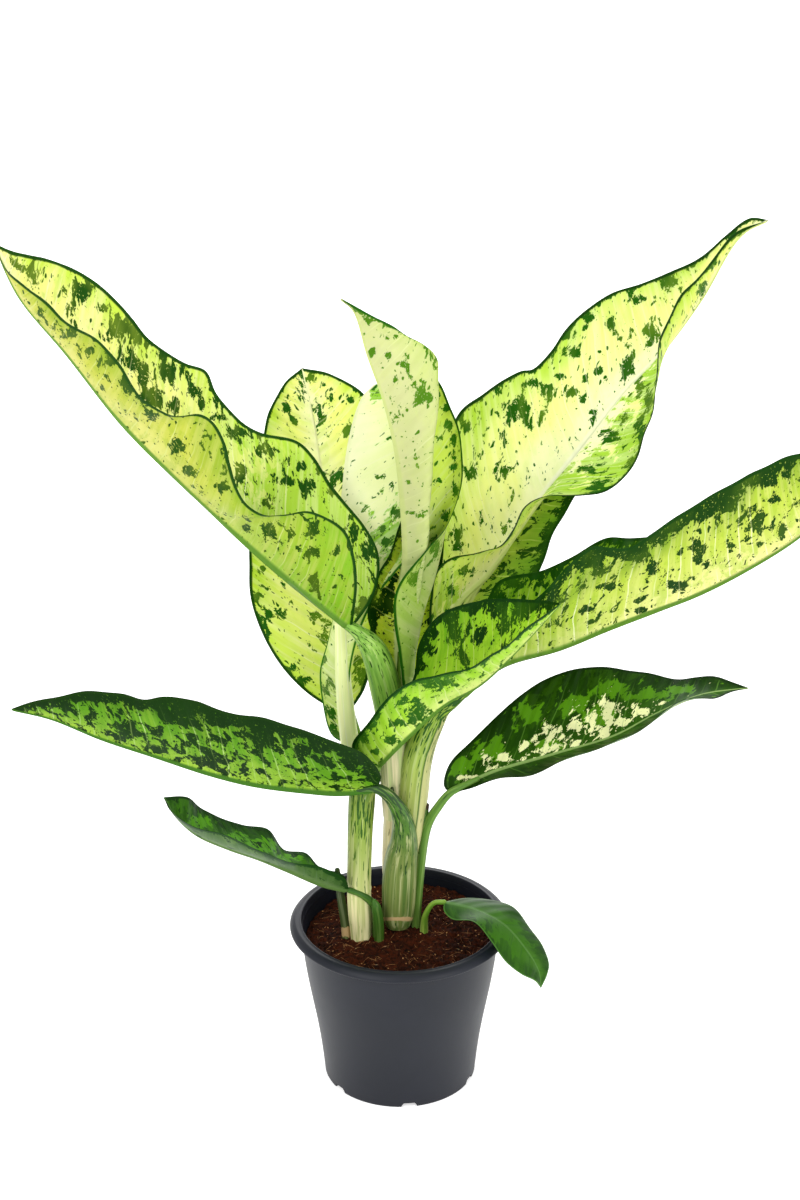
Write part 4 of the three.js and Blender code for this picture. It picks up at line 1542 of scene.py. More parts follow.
NEW_CENTRE = Outline(
    base=(407, 700, 0), tip=(340, 298, -14),
    midrib=(
        (403, 650, 2), (402, 600, 0), (406, 558, -6), (402, 488, -10), (396, 444, -12), (384, 397, -12),
        (369, 356, -12), (354, 310, -12),
    ),
    left=((
        (409, 698, -3), (412, 650, -6), (418, 600, -10), (427, 541, -18), (429, 503, -20),
        (432, 444, -24), (433, 400, -26), (420, 360, -24), (385, 330, -20),
    ), (
        (410, 698, 0), (410, 650, 0), (414, 600, 0), (420, 541, 0), (422, 503, 2), (424, 444, 0),
        (429, 400, -8), (434, 376, -12), (438, 360, -16), (434, 353, -17), (421, 344, -18),
        (400, 331, -19),
    )),
    right=((
        (411, 698, -3), (416, 652, -6), (424, 612, -4), (434, 580, 2), (442, 545, 8), (446, 500, 14),
        (444, 459, 16), (432, 420, 14), (410, 380, 8), (380, 335, -4),
    ), (
        (404, 696, -10), (399, 652, -16), (394, 621, -20), (396, 592, -22), (428, 547, -18),
        (444, 531, -10), (456, 506, 0), (463, 459, 8), (457, 425, 10), (437, 380, 8), (400, 345, 0),
    )),
)
RIGHT_TOP = Outline(
    base=(432, 650, 20), tip=(769, 220, 36), lean=60, bow=(0.1, 0.1),
    midrib=(
        (455, 604, 24), (487, 573, 28), (530, 512, 36), (575, 455, 42), (624, 392, 46), (661, 353, 46),
        (700, 300, 44), (740, 236, 40),
    ),
    left=((
        (436, 590, 34), (440, 500, 52), (457, 416, 64), (483, 394, 66), (505, 379, 68), (521, 371, 69),
        (533, 369, 70), (551, 351, 71), (566, 329, 72), (586, 310, 72), (612, 293, 70), (640, 284, 68),
        (672, 271, 63), (701, 257, 56), (725, 236, 47), (750, 218, 40),
    ),),
    right=((
        (429, 625, 10), (430, 600, 4), (435, 573, 0), (452, 558, -3), (480, 552, -4), (500, 547, -4),
        (512, 530, -3), (524, 508, -4), (545, 497, -8), (580, 495, -12), (606, 491, -14), (628, 474, -14),
        (645, 435, -12), (655, 400, -6), (659, 345, 8), (680, 297, 20), (705, 270, 28), (735, 233, 38),
    ),),
)
RIGHT_BACK = Outline(
    base=(440, 655, 32), tip=(600, 430, 80), bow=(0.08, 0.08),
    midrib=(
        (475, 590, 48), (510, 535, 60), (550, 480, 70),
    ),
    left=((
        (455, 590, 60), (490, 520, 76), (540, 460, 84),
    ),),
    right=((
        (500, 640, 26), (538, 575, 34), (552, 537, 42), (568, 508, 52), (590, 470, 64),
    ),),
)
CENTRE_INNER = Outline(
    base=(399, 694, 12), tip=(420, 450, 20), bow=(0.1, 0.1),
    midrib=(
        (398, 620, 14), (404, 560, 16), (412, 500, 18),
    ),
    left=((
        (390, 685, 8), (379, 650, 4), (368, 615, 2), (374, 585, 4), (390, 552, 4), (408, 500, 12),
    ),),
    right=((
        (412, 685, 12), (427, 655, 12), (437, 620, 14), (441, 580, 18), (444, 530, 22), (436, 480, 24),
    ),),
)
RIGHT_LONG = Outline(
    base=(456, 700, -2), tip=(872, 466, -46), lean=-55, bow=(0.12, 0.12),
    midrib=(
        (500, 665, -10), (560, 647, -20), (606, 628, -26), (659, 608, -32), (698, 593, -36),
        (744, 570, -40), (796, 538, -44), (840, 500, -46),
    ),
    left=((
        (470, 640, 10), (488, 598, 10), (500, 580, 8), (540, 571, 4), (570, 558, 2), (606, 538, 0),
        (632, 538, 0), (680, 532, 0), (730, 510, -4), (790, 485, -12), (840, 465, -28),
    ),),
    right=((
        (478, 655, -18), (505, 620, -32), (537, 598, -42), (571, 563, -48), (593, 547, -52),
        (629, 548, -58), (652, 533, -60), (698, 503, -62), (756, 471, -66), (796, 454, -66),
        (840, 450, -58),
    ),),
)
FRONT_MID = Outline(
    base=(376, 768, -18), tip=(561, 603, -78), lean=-10, bow=(0.12, 0.12),
    midrib=(
        (408, 736, -30), (446, 703, -41), (479, 685, -50), (512, 655, -62),
    ),
    left=((
        (392, 720, -14), (413, 678, -10), (419, 643, -8), (441, 614, -14), (484, 600, -26),
        (537, 600, -52),
    ),),
    right=((
        (352, 750, -22), (371, 719, -40), (396, 690, -58), (423, 678, -70), (468, 668, -80),
        (509, 643, -84), (529, 626, -84),
    ),),
)
LEFT_LOWER = Outline(
    base=(378, 787, -38), tip=(11, 709, -78), lean=-30, bow=(0.12, 0.12),
    midrib=(
        (340, 791, -44), (306, 789, -50), (255, 783, -58), (212, 773, -64), (152, 754, -70),
        (102, 738, -74), (51, 718, -76),
    ),
    left=((
        (381, 776, -46), (365, 755, -62), (347, 746, -70), (314, 734, -78), (268, 719, -86),
        (222, 711, -90), (194, 700, -94), (163, 697, -94), (143, 699, -94), (122, 694, -92),
        (91, 691, -90), (55, 697, -86), (28, 703, -81),
    ),),
    right=((
        (376, 772, -20), (350, 760, -8), (306, 748, -4), (250, 735, -6), (190, 722, -14), (120, 712, -30),
        (50, 706, -60),
    ),),
)
RIGHT_LOWER = Outline(
    base=(450, 793, -14), tip=(749, 688, -42), lean=50, bow=(0.1, 0.1),
    midrib=(
        (491, 773, -20), (556, 754, -28), (615, 736, -34), (656, 714, -38), (700, 695, -40),
    ),
    left=((
        (444, 786, -8), (449, 765, 0), (470, 742, 8), (521, 695, 14), (550, 677, 16), (590, 667, 14),
        (635, 671, 8), (680, 679, -6), (714, 676, -24), (732, 682, -34),
    ),),
    right=((
        (470, 788, -26), (500, 779, -42), (530, 775, -54), (575, 756, -66), (615, 742, -72),
        (650, 724, -70), (679, 701, -62), (715, 698, -52), (732, 692, -46),
    ),),
)
SMALL_LEFT = Outline(
    base=(349, 890, -15), tip=(164, 797, -38), lean=-10, bow=(0.1, 0.1),
    midrib=(
        (323, 884, -20), (286, 869, -28), (258, 858, -32), (228, 848, -36), (196, 834, -38),
        (175, 815, -38),
    ),
    left=((
        (345, 879, -26), (320, 867, -38), (290, 862, -46), (262, 852, -52), (228, 836, -56),
        (190, 825, -52), (170, 810, -44),
    ),),
    right=((
        (343, 875, -4), (320, 867, 2), (306, 853, 6), (284, 850, 6), (268, 829, 8), (242, 825, 4),
        (204, 810, -8), (187, 797, -22),
    ),),
)
SMALL_RIGHT = Outline(
    base=(444, 902, -6), tip=(541, 988, -52), bow=(-0.08, -0.08),
    midrib=(
        (477, 910, -18), (503, 924, -30), (524, 947, -42), (538, 970, -48),
    ),
    left=((
        (468, 898, 4), (497, 901, 4), (514, 908, -4), (530, 928, -16), (543, 947, -28), (549, 964, -38),
        (547, 975, -46),
    ),),
    right=((
        (444, 911, -16), (452, 919, -26), (474, 922, -40), (491, 941, -54), (506, 962, -62),
        (521, 974, -62), (535, 981, -56),
    ),),
)


# ------------------------------------------------------------------ finishes of this plant

BRIGHT = Face("f3f4a4", "dbe860", "a6cc34", "27600f", "f3f6b0", "f2f4c0")
PALE_UNDER = Face("d8dc98", "c3d468", "a0bf3e", "4f7f22", "e3e8b0", "94a868", patch="a9c545")

LEFT_LONG_LOOKS = LeafFinish(
    Face("fdfbc4", "f5f590", "c8e44c", "1c4c08", "f8fac4", "e6eca0",
         patch="b4da44", foot="9ccc30", footed=0.9),
    Face("d0ce74", "b8be46", "88a428", "264c06", "c8d080", "5f8a30", "1a430a", "94ac2a", "78b41c", 0, 0.95),
    flecks=0.05, rim=0.003,
)
LEFT_BACK_LOOKS = LeafFinish(
    Face("fcfcc0", "f6fa88", "c2e63e", "24600c", "fafcc4", "fbfcc0",
         patch="d8f050", foot="c8e840", footed=0.5),
    PALE_UNDER, flecks=-0.12, rim=0.004,
)
CENTRE_BACK_LOOKS = LeafFinish(
    BRIGHT,
    Face("fafcd4", "f6fac0", "e0f08c", "2a6a0c", "f8fad0", "f4f6cc", "2f7414", "98d034", "bcdc50", 0.0, 0.8),
    flecks=-0.2, margin=0.002, rim=0.001, patchy=0.05, glow=0.2, relief=0.15,
)
YOUNG = Face(
    "d6d8a0", "ccd48c", "b8d850", "54881a", "dce0a4", "d0d890", "24600c", "e0f078", "8cb04c", 0.0, 0.75
)
YOUNG_INSIDE = Face(
    "e4f0a0", "d4ea70", "b4dc48", "2f740c", "e8f0b0", "d8e89c", "24600c", "d8ec60", "acd048", 0.0, 0.6
)
NEW_CENTRE_LOOKS = LeafFinish(YOUNG_INSIDE, YOUNG, flecks=-0.12, patchy=0.1, glow=0.3)
RIGHT_TOP_LOOKS = LeafFinish(
    Face("fdfdd8", "f6f8a8", "c4e24c", "2a6a0c", "fdfcd8", "fefde4",
         patch="b4da48", foot="f2f694", footed=0.3),
    Face("eeeeb0", "e4ee7c", "c4e048", "2f6e0c", "f0f2b8", "d4e08c", patch="bcdc48"),
    flecks=0.0, rim=0.005, patchy=0.12, glow=0.4,
)
RIGHT_BACK_LOOKS = LeafFinish(
    Face("b9d050", "8db834", "5c8f1e", "1d4a0a", "cfe070", "d2dc90", patch="6fa024"), PALE_UNDER,
    flecks=0.45, rim=0.012,
)
INNER_LOOKS = LeafFinish(
    Face("eef464", "dbe844", "9ccc2c", "123a06", "f0f2a0", "dfe8a0"), PALE_UNDER,
    flecks=0.4, rim=0.006, glow=0.4,
)
RIGHT_LONG_LOOKS = LeafFinish(
    Face("b4d43c", "8cc024", "5f9418", "1d4d0a", "dfe8a0", "e4ebb0"),
    Face("dcdc88", "b4c648", "6c9020", "143a05", "ecf0c0", "5f8a2c", "123c06", "9cba30", "78a81c", 0.0, 0.8),
    flecks=0.2, rim=0.018, patchy=0.6,
)
FRONT_MID_LOOKS = LeafFinish(
    Face("b8dc3c", "94c626", "5c9a16", "0f3603", "cbe070", "b4cc6c", "0f3606", "62a010", "7cb81a", 0, 0.3),
    Face("ccdc7c", "9ccc34", "5f981a", "2a5c14", "d4e09c", "5f8c30", "123c08", "8cc024", "b0dc38", 0.0, 0.4),
    flecks=0.26, rim=0.007,
)
DARK_UNDER = Face(
    "88ac34", "508416", "1c4205", "0c2a03", "a8c474", "3a661c", "123004", "467a10", "588c16", 0.0, 0.2
)
LEFT_LOWER_LOOKS = LeafFinish(
    Face("5f9424", "38700f", "224f0a", "173f06", "86a84a", "8fb05a", "173f06", "4f8a1c"), DARK_UNDER,
    flecks=0.7, rim=0.012, glow=0.04, gloss=0.05, relief=0.35,
)
RIGHT_LOWER_LOOKS = LeafFinish(
    Face("2a520c", "183803", "102c02", "f4f6b8", "54802c", "8aa860", "102c03", "508610", "204406", 0, 0.3),
    Face("b4c07c", "7f9a56", "3a5f24", "2f5a1c", "c9d2a0", "a9b87c", "1d4410", "5f8038", "7f9a56"),
    flecks=-0.45, dots=0.0, jag=1.0, rim=0.0001, patchy=0.15, glow=0.04, gloss=0.05,
)
SMALL_LEFT_LOOKS = LeafFinish(
    Face("2f5c10", "214a0c", "17390a", "123006", "3c6a1c", "44702a", "143609", "4f8e14", "1f450e", 0, 0.3),
    Face("5c7844", "3f602a", "264a1a", "183c12", "56704a", "4f6c34", "183c10", "48682c", "3a5a26"),
    flecks=0.1, dots=0.4, rim=0.006, glow=0.04, gloss=0.06, relief=0.2,
)
SMALL_RIGHT_LOOKS = LeafFinish(
    Face("3c681c", "22480f", "18380c", "143207", "2c561a", "4a7430", "44702a", "34640f", "234a12", 0.5, 0.3),
    Face("748a5a", "56744a", "3a5f30", "2a5420", "6c8458", "6f8c4c", "244a1a", "4a6c34", "4a6838"),
    flecks=0.0, dots=0.2, rim=0.001, margin=0.0012, glow=0.04, gloss=0.1, relief=0.25,
)

CANE = StemFinish(
    "f0e8b0", "6f8c2c", "8ea244", "2c540c", 1.1, 0.6,
    pale="e4e4a8", pales=0.3, rise=(0.24, 0.75),
)
CENTRE_CANE = StemFinish("56702a", "d0c594", "948a5c", "4a4a24", 0.4, 0.6, rise=(0.3, 0.5))
CREAM = StemFinish("fcfec0", "f8fcb4", "d8ec90", "7fa63a", 0.1, 0.35, pale="fdfde8", pales=0.5)
GREEN = StemFinish("98a850", "789a34", "447416", "1d480a", 0.3, 0.75)
LONG_STEM = StemFinish(
    "d8cfa2", "8cb84c", "3f7c1a", "16400a", 1.0, 0.55, pale="c8dc88", pales=0.4, rise=(0.22, 0.5)
)
DEEP = StemFinish("3f5c1a", "3a641c", "24480e", "183c0a", 0.3, 0.6, pale="6f8c44")
RIGHT_SHEATH = StemFinish("5f7f34", "5a8230", "2f5614", "1d3c0c", 0.3, 0.6, pale="86a458", pales=0.5)
RIGHT_STEM = StemFinish(
    "b8b670", "86a834", "6c8428", "24520c", 1.5, 0.5,
    pales=0.12, flank="b4b27a", flank_from=0.42,
)
SHEATH = StemFinish(
    "707e40", "3f6c1c", "466628", "24401a", 1.6, 0.8,
    pale="bcbe88", pales=0.5, rise=(0.35, 0.62), mark="c2a674",
)
OLD = StemFinish("5c6a30", "36491c", "2a3a1c", "221f12", 0.3, 0.6, 0.6, mark="b89c6c", pales=0.1)


# ------------------------------------------------------------------ the plant


class Plant:
    """The stems and blades, from the left shoot to the offsets."""

    def left_shoot(self) -> None:
        """The left cane, its old sheath and the stems of its three leaves."""
        cane = (
            (361, 935, -4, 8.6), (360, 915, -5, 9.6), (359, 890, -5, 9.8), (360, 840, -5, 10),
            (362, 797, -4, 10.6), (363, 780, -3, 10), (362, 766, -2, 7),
        )
        Stem("cane_left", Slot.PALE_STEM, CANE, cane, root=35 * MM, rings=(0.42,), seed=2).build()
        thick = ((363, 797, -4, 9.3), (352, 755, -1, 7.8), (344, 690, 4, 6.5), (341, 622, 13, 4.8))
        Stem("petiole_centre_back", Slot.PALE_STEM, CREAM, thick, seed=3).build()
        old = ((346, 930, -2, 3.8), (341, 897, 0, 3.4), (337, 868, 0, 2))
        Stem("sheath_old", Slot.GREEN_STEM, OLD, old, ((348, 932, 16, 9),), root=25 * MM, seed=4).build()
        front = ((366, 797, -8, 6), (371, 781, -14, 4.8), (376, 768, -18, 4))
        Stem("petiole_front_mid", Slot.GREEN_STEM, GREEN, front, seat=4 * MM, seed=5).build()
        back = ((361, 845, -3, 3.4), (365, 807, 5, 4), (361, 753, 24, 4), (350, 712, 38, 3.6))
        Stem("petiole_left_back", Slot.GREEN_STEM, GREEN, back, seat=4 * MM, seed=6).build()

    def centre_shoot(self) -> None:
        """The centre cane and the stems of its leaves."""
        cane = (
            (397, 928, 11, 9.4), (398, 915, 9, 10.5), (399, 880, 8, 13), (399, 840, 8, 13.2),
            (398, 800, 8, 11.5),
        )
        Stem("cane_centre", Slot.PALE_STEM, CENTRE_CANE, cane, root=35 * MM, rings=(0.3,), seed=7).build()
        left_long = (
            (396, 815, 5, 10.5), (395, 790, 4, 11.5), (393, 750, 2, 11.6), (388, 700, -3, 12),
            (379, 664, -8, 11.5), (370, 645, -10, 9.2), (358, 632, -12, 5.6), (345, 623, -13.5, 3.8),
            (328, 609, -16, 2.8), (306, 592, -20, 2),
        )
        Stem("petiole_left_long", Slot.GREEN_STEM, LONG_STEM, left_long, groove=0.08, seed=8).build()
        nub = ((393, 806, -7, 2.6), (392, 797, -8, 2.6), (392, 787, -9, 1.3))
        Stem("nub_centre", Slot.GREEN_STEM, OLD, nub, node=False, rows=24, seed=18).build()
        right_long = (
            (404, 870, 3, 9), (411, 810, -1, 12), (418, 757, -3, 12), (428, 728, -3, 11),
            (440, 709, -3, 8.5), (453, 701, -3, 5.6), (466, 691, -5, 3.8), (484, 678, -7, 2.6),
            (500, 665, -10, 1.8),
        )
        Stem("petiole_right_long", Slot.PALE_STEM, RIGHT_STEM, right_long, groove=0.06, seed=9).build()
        right_top = ((400, 835, 9, 5), (405, 790, 14, 6), (415, 720, 17, 6), (432, 650, 20, 4.8))
        Stem("petiole_right_top", Slot.GREEN_STEM, GREEN, right_top, seat=4 * MM, seed=10).build()
        right_back = ((400, 860, 11, 4.4), (406, 800, 20, 5), (425, 716, 29, 5), (440, 655, 32, 4))
        Stem("petiole_right_back", Slot.GREEN_STEM, GREEN, right_back, seat=4 * MM, seed=11).build()
        inner = (
            (397, 830, 10, 4), (394, 783, 17, 4.5), (392, 730, 18, 4.5), (399, 690, 13, 3.2),
            (399, 650, 14, 1.6),
        )
        Stem("petiole_centre_inner", Slot.GREEN_STEM, GREEN, inner, seed=12).build()
        young = ((402, 825, 7, 5), (406, 780, 6, 5), (406, 734, 4, 5), (407, 700, 0, 4))
        Stem("petiole_new_centre", Slot.PALE_STEM, CREAM, young, seat=4 * MM, seed=13).build()
        left_lower = (
            (398, 923, 6, 10.6), (398, 915, 5, 12.8), (399, 890, 3, 14), (401, 862, 0, 13.6),
            (404, 838, -8, 10.8), (402, 818, -17, 8), (394, 802, -28, 5.8), (384, 792, -35, 4.8),
            (374, 788, -39, 4), (360, 789, -42, 3.2), (340, 790, -45, 2.2),
        )
        ring = ((398, 919, 60, 3.5),)
        Stem("petiole_left_lower", Slot.GREEN_STEM, SHEATH, left_lower, ring, groove=0.05, seed=14).build()
        right_lower = (
            (416, 920, 6, 4), (418, 890, 6, 4), (421, 860, 3, 4), (427, 826, -2, 4), (438, 807, -9, 3.6),
            (450, 793, -14, 3.2), (463, 786, -17, 2.7), (480, 778, -20, 2),
        )
        Stem("petiole_right_lower", Slot.GREEN_STEM, RIGHT_SHEATH, right_lower, root=25 * MM, seed=15).build()
        nub = ((420, 852, 1, 2.6), (424, 822, -2, 2.8), (427, 803, -4, 2))
        tip = ((427, 804, 9, 10),)
        Stem("nub_right", Slot.GREEN_STEM, DEEP, nub, tip, node=False, rows=40, seed=19).build()

    def offsets(self) -> None:
        """The two small shoots at the foot of the canes."""
        left = ((378, 932, -6, 4.6), (375, 907, -9, 3.6), (362, 895, -14, 2.8), (349, 890, -15, 2.4))
        Stem("shoot_small_left", Slot.GREEN_STEM, DEEP, left, root=25 * MM, seat=2 * MM, seed=16).build()
        nub = ((379, 934, -12, 4.2), (378, 918, -13, 4.4), (376, 906, -14, 3.6), (373, 899, -14, 1.4))
        Stem("nub_small_left", Slot.GREEN_STEM, DEEP, nub, root=10 * MM, node=False, rows=40, seed=20).build()
        right = ((424, 930, -1, 3.4), (426, 914, -4, 2.4), (434, 903, -5, 2), (444, 902, -6, 2))
        Stem("shoot_small_right", Slot.GREEN_STEM, GREEN, right, root=25 * MM, seat=2 * MM, seed=17).build()

    def left_leaves(self) -> None:
        """The two large leaves on the left."""
        far = (
            (33, 273, 12, 14), (20, 268, 7, 7), (80, 290, 16, 24), (93, 287, 22, 10), (73, 304, 8, 14),
            (104, 308, 8, 8), (126, 328, 30, 22), (140, 338, 14, 18), (112, 332, 14, 18),
            (129, 362, 24, 24), (143, 376, 12, 28), (171, 370, 30, 18), (160, 356, 10, 8),
            (154, 398, 26, 18), (172, 405, 14, 14), (192, 391, 12, 14), (201, 403, 7, 10),
            (217, 400, 14, 20), (217, 417, 18, 8), (238, 433, 26, 16), (260, 452, 10, 12),
            (270, 453, 12, 16), (289, 460, 8, 10), (284, 481, 24, 10), (308, 486, 16, 20),
            (330, 492, 14, 12), (303, 466, 8, 10), (240, 474, 10, 14), (268, 501, 10, 8),
            (353, 537, 16, 24), (367, 550, 22, 30), (364, 606, 14, 20),
        )
        near = (
            (40, 310, 8, 10), (69, 332, 16, 12), (90, 350, 12, 8), (112, 362, 14, 9), (128, 386, 14, 14),
            (141, 396, 12, 14), (153, 415, 18, 9), (178, 448, 11, 20), (208, 436, 10, 5),
            (190, 470, 10, 9), (223, 485, 10, 13), (247, 528, 9, 12), (268, 531, 20, 14),
            (281, 541, 10, 8), (315, 528, 18, 20), (311, 552, 13, 9), (298, 548, 7, 7), (315, 583, 9, 16),
            (337, 550, 5, 8),
        )
        lime = ((310, 490, 110, 120, 1), (350, 540, 60, 80, 1), (250, 435, 60, 30, 1))
        Leaf("left_long", Slot.BRIGHT_LEAF, LEFT_LONG_LOOKS, LEFT_LONG, near, far, lime, seed=1).build()
        left = (
            (303, 375, 18, 16), (300, 390, 10, 22), (286, 407, 10, 12), (294, 420, 8, 8),
            (256, 596, 12, 9), (267, 615, 26, 18), (283, 612, 10, 12), (265, 632, 14, 16),
            (262, 570, 8, 7), (315, 617, 10, 12), (324, 634, 12, 14), (290, 668, 16, 10),
            (303, 681, 12, 10),
        )
        right = (
            (320, 412, 14, 24), (330, 399, 10, 12), (347, 432, 10, 12), (340, 476, 28, 16),
            (350, 401, 8, 6), (324, 385, 6, 6), (312, 378, 10, 10), (361, 675, 15, 16), (358, 660, 8, 10),
            (366, 690, 8, 8),
        )
        looks = LEFT_BACK_LOOKS
        Leaf("left_back", Slot.BRIGHT_LEAF, looks, LEFT_BACK, left, right, rib=1.8 * MM, seed=2).build()

    def middle_leaves(self) -> None:
        """The pale leaves in the middle."""
        left = (
            (373, 390, 8, 8), (392, 485, 6, 14), (397, 517, 16, 18), (390, 544, 14, 14),
            (383, 528, 8, 10), (364, 672, 12, 16), (362, 690, 12, 14),
        )
        right = ((330, 690, 16, 20), (326, 712, 14, 16), (332, 730, 12, 10), (324, 660, 7, 8))
        green = (
            (395, 535, 40, 50, -1), (410, 520, 30, 40, -1), (365, 680, 20, 50, -1),
            (375, 392, 14, 16, -1),
        )
        marks = (left, right, green)
        looks = CENTRE_BACK_LOOKS
        Leaf("centre_back", Slot.YOUNG_LEAF, looks, CENTRE_BACK, *marks, ripple=0.1 * MM, seed=3).build()
        front = (
            (385, 337, 10, 8), (374, 336, 6, 7), (397, 336, 5, 6), (388, 357, 7, 14), (405, 360, 7, 18),
            (422, 394, 25, 27), (394, 416, 8, 8), (412, 513, 14, 5), (358, 308, 26, 9), (376, 317, 22, 7),
            (392, 325, 20, 7), (408, 334, 20, 7), (424, 345, 18, 8), (434, 357, 10, 12),
            (372, 350, 6, 10), (396, 380, 5, 9),
        )
        far = (
            (436, 395, 8, 12), (447, 424, 10, 10), (440, 438, 7, 8), (434, 417, 6, 6), (452, 467, 10, 6),
            (438, 481, 10, 6), (420, 565, 22, 16), (436, 545, 12, 24), (413, 578, 18, 14),
            (404, 598, 8, 10), (455, 440, 8, 12), (446, 405, 7, 10), (456, 490, 9, 14),
            (445, 515, 10, 10), (452, 455, 6, 7),
        )
        lime = ((450, 470, 50, 120, 1), (440, 410, 40, 80, 1))
        Leaf("new_centre", Slot.YOUNG_LEAF, NEW_CENTRE_LOOKS, NEW_CENTRE, front, far, lime, seed=4).build()

    def right_leaves(self) -> None:
        """The large leaves on the right and the inner leaf."""
        far = (
            (517, 412, 30, 20), (507, 406, 12, 10), (548, 392, 20, 16), (537, 384, 10, 10),
            (524, 384, 7, 7), (572, 353, 16, 12), (572, 393, 16, 9), (582, 400, 6, 8), (594, 416, 7, 18),
            (599, 371, 12, 8), (585, 379, 8, 8), (561, 376, 10, 6), (610, 325, 8, 14), (627, 364, 12, 30),
            (637, 300, 14, 9), (631, 294, 6, 12), (669, 280, 12, 10), (587, 317, 15, 8), (566, 336, 8, 8),
            (584, 328, 7, 6), (503, 435, 9, 22), (467, 427, 8, 10), (495, 394, 8, 8), (505, 470, 13, 16),
            (472, 472, 12, 14), (456, 467, 9, 9), (457, 537, 11, 26), (437, 524, 12, 10),
            (488, 428, 6, 7), (653, 335, 10, 24),
        )
        near = (
            (607, 436, 22, 12), (588, 470, 20, 10), (597, 486, 26, 12), (640, 385, 7, 20),
            (641, 430, 9, 30), (632, 466, 10, 18), (650, 400, 7, 24), (450, 590, 8, 12),
            (468, 570, 10, 6), (465, 600, 12, 6), (710, 262, 10, 14), (702, 290, 7, 16),
            (735, 232, 12, 8),
        )
        green = (
            (640, 445, 60, 90, 1), (610, 475, 80, 50, 1), (652, 390, 26, 110, 1), (648, 350, 16, 70, 1),
            (570, 485, 60, 40, 1), (445, 590, 30, 40, 1), (440, 400, 20, 100, -1),
        )
        Leaf("right_top", Slot.BRIGHT_LEAF, RIGHT_TOP_LOOKS, RIGHT_TOP, far, near, green, seed=5).build()
        Leaf("right_back", Slot.BRIGHT_LEAF, RIGHT_BACK_LOOKS, RIGHT_BACK, seed=6).build()
        dark = ((382, 606, 16, 22), (388, 592, 12, 14), (395, 577, 8, 10))
        Leaf("centre_inner", Slot.BRIGHT_LEAF, INNER_LOOKS, CENTRE_INNER, dark, dark, seed=7).build()
        near = (
            (590, 560, 12, 12), (599, 570, 12, 9), (607, 551, 24, 10), (605, 587, 16, 6),
            (587, 609, 9, 8), (652, 570, 11, 14), (672, 582, 8, 12), (683, 588, 8, 8), (698, 547, 13, 20),
            (703, 563, 11, 8), (730, 548, 8, 10), (752, 525, 15, 20), (760, 514, 9, 10),
            (773, 500, 12, 8), (768, 482, 12, 8), (785, 475, 10, 8), (782, 530, 7, 14),
            (723, 506, 24, 12), (700, 515, 24, 8), (740, 556, 6, 6), (590, 621, 8, 5), (640, 610, 14, 5),
            (637, 600, 5, 5),
        )
        Leaf("right_long", Slot.BRIGHT_LEAF, RIGHT_LONG_LOOKS, RIGHT_LONG, (), near, seed=8).build()

    def lower_leaves(self) -> None:
        """The leaf in front and the dark ones below."""
        far = (
            (430, 625, 14, 20), (446, 614, 20, 14), (470, 608, 22, 9), (495, 610, 18, 14),
            (455, 635, 12, 18), (480, 630, 10, 14), (463, 655, 9, 14), (425, 646, 12, 18),
            (520, 612, 22, 14), (540, 606, 20, 8), (420, 668, 14, 10), (505, 630, 12, 10),
        )
        near = (
            (433, 685, 18, 12), (417, 710, 20, 18), (405, 700, 10, 8), (400, 722, 10, 7),
            (448, 680, 11, 9), (395, 690, 10, 9), (420, 726, 9, 6), (392, 740, 12, 7),
        )
        looks = FRONT_MID_LOOKS
        Leaf("front_mid", Slot.BRIGHT_LEAF, looks, FRONT_MID, far, near, rib=1.7 * MM, seed=9).build()
        dark = (
            (263, 735, 22, 18), (213, 758, 26, 10), (127, 728, 12, 12), (175, 715, 20, 10),
            (300, 752, 10, 16), (318, 745, 18, 14), (350, 762, 12, 14), (232, 722, 30, 8),
        )
        Leaf("left_lower", Slot.DARK_LEAF, LEFT_LOWER_LOOKS, LEFT_LOWER, dark, dark, seed=10).build()
        cream = (
            (468, 777, 24, 7), (495, 768, 30, 9), (522, 759, 34, 10), (547, 750, 36, 13),
            (572, 741, 40, 17), (597, 732, 40, 18), (620, 723, 34, 16), (643, 712, 24, 12),
            (658, 703, 16, 7), (576, 722, 17, 40), (591, 718, 17, 36), (606, 706, 11, 38),
            (551, 732, 16, 26), (620, 711, 13, 22), (523, 747, 14, 16), (503, 755, 13, 12),
            (487, 758, 9, 14), (536, 742, 10, 14), (634, 708, 12, 18),
        )
        green = (
            (527, 714, 30, 20, 0), (574, 706, 26, 22, 0), (610, 690, 36, 16, 0), (648, 694, 44, 14, 0),
            (680, 690, 26, 8, 0), (462, 768, 26, 18, 0), (488, 752, 34, 16, 0), (500, 745, 12, 20, 0),
            (548, 745, 36, 12, 0), (600, 716, 40, 20, 0),
        )
        looks = RIGHT_LOWER_LOOKS
        marks = (cream, (), green)
        Leaf("right_lower", Slot.DARK_LEAF, looks, RIGHT_LOWER, *marks, rib=1.7 * MM, seed=11).build()
        green = (
            (200, 822, 24, 12, 0), (262, 846, 34, 14, 0), (235, 838, 24, 10, 0), (290, 858, 24, 8, 0),
        )
        small = {"patches": green, "rib": 1.8 * MM, "ripple": 0.3 * MM}
        Leaf("small_left", Slot.DARK_LEAF, SMALL_LEFT_LOOKS, SMALL_LEFT, **small, seed=12).build()
        green = ((505, 930, 30, 20, 0), (520, 945, 20, 24, 0), (490, 918, 30, 10, 0))
        small = {"patches": green, "rib": 1.5 * MM, "ripple": 0.2 * MM}
        Leaf("small_right", Slot.DARK_LEAF, SMALL_RIGHT_LOOKS, SMALL_RIGHT, **small, seed=13).build()

    def build(self) -> None:
        """Makes every stem and leaf."""
        self.left_shoot()
        self.centre_shoot()
        self.offsets()
        self.left_leaves()
        self.middle_leaves()
        self.right_leaves()
        self.lower_leaves()


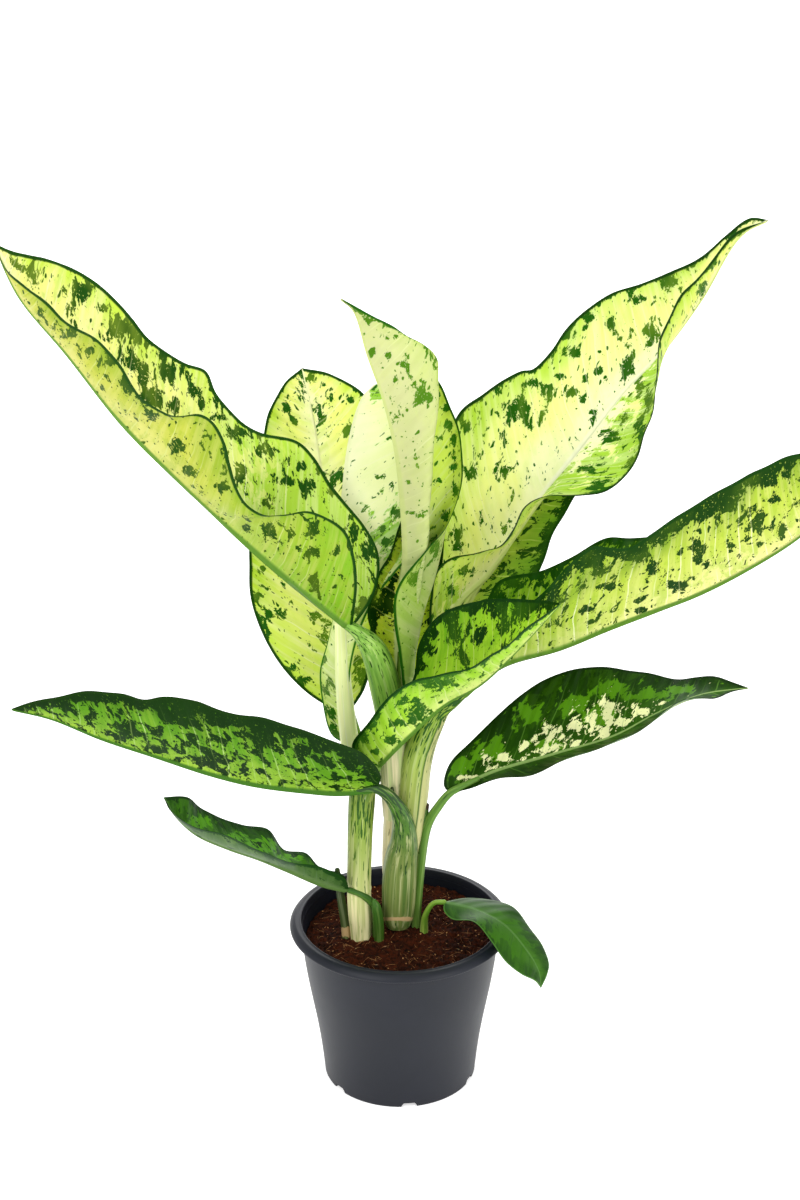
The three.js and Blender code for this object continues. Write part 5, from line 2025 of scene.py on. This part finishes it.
def main() -> None:
    """Builds the studio, the pot, the soil and the plant."""
    logging.basicConfig(level=logging.INFO, format="%(name)s %(message)s")
    CAMERA.build()
    Studio().build()
    pot = Pot()
    pot.build()
    Soil(pot).build()
    Plant().build()


if __name__ == "__main__":
    main()
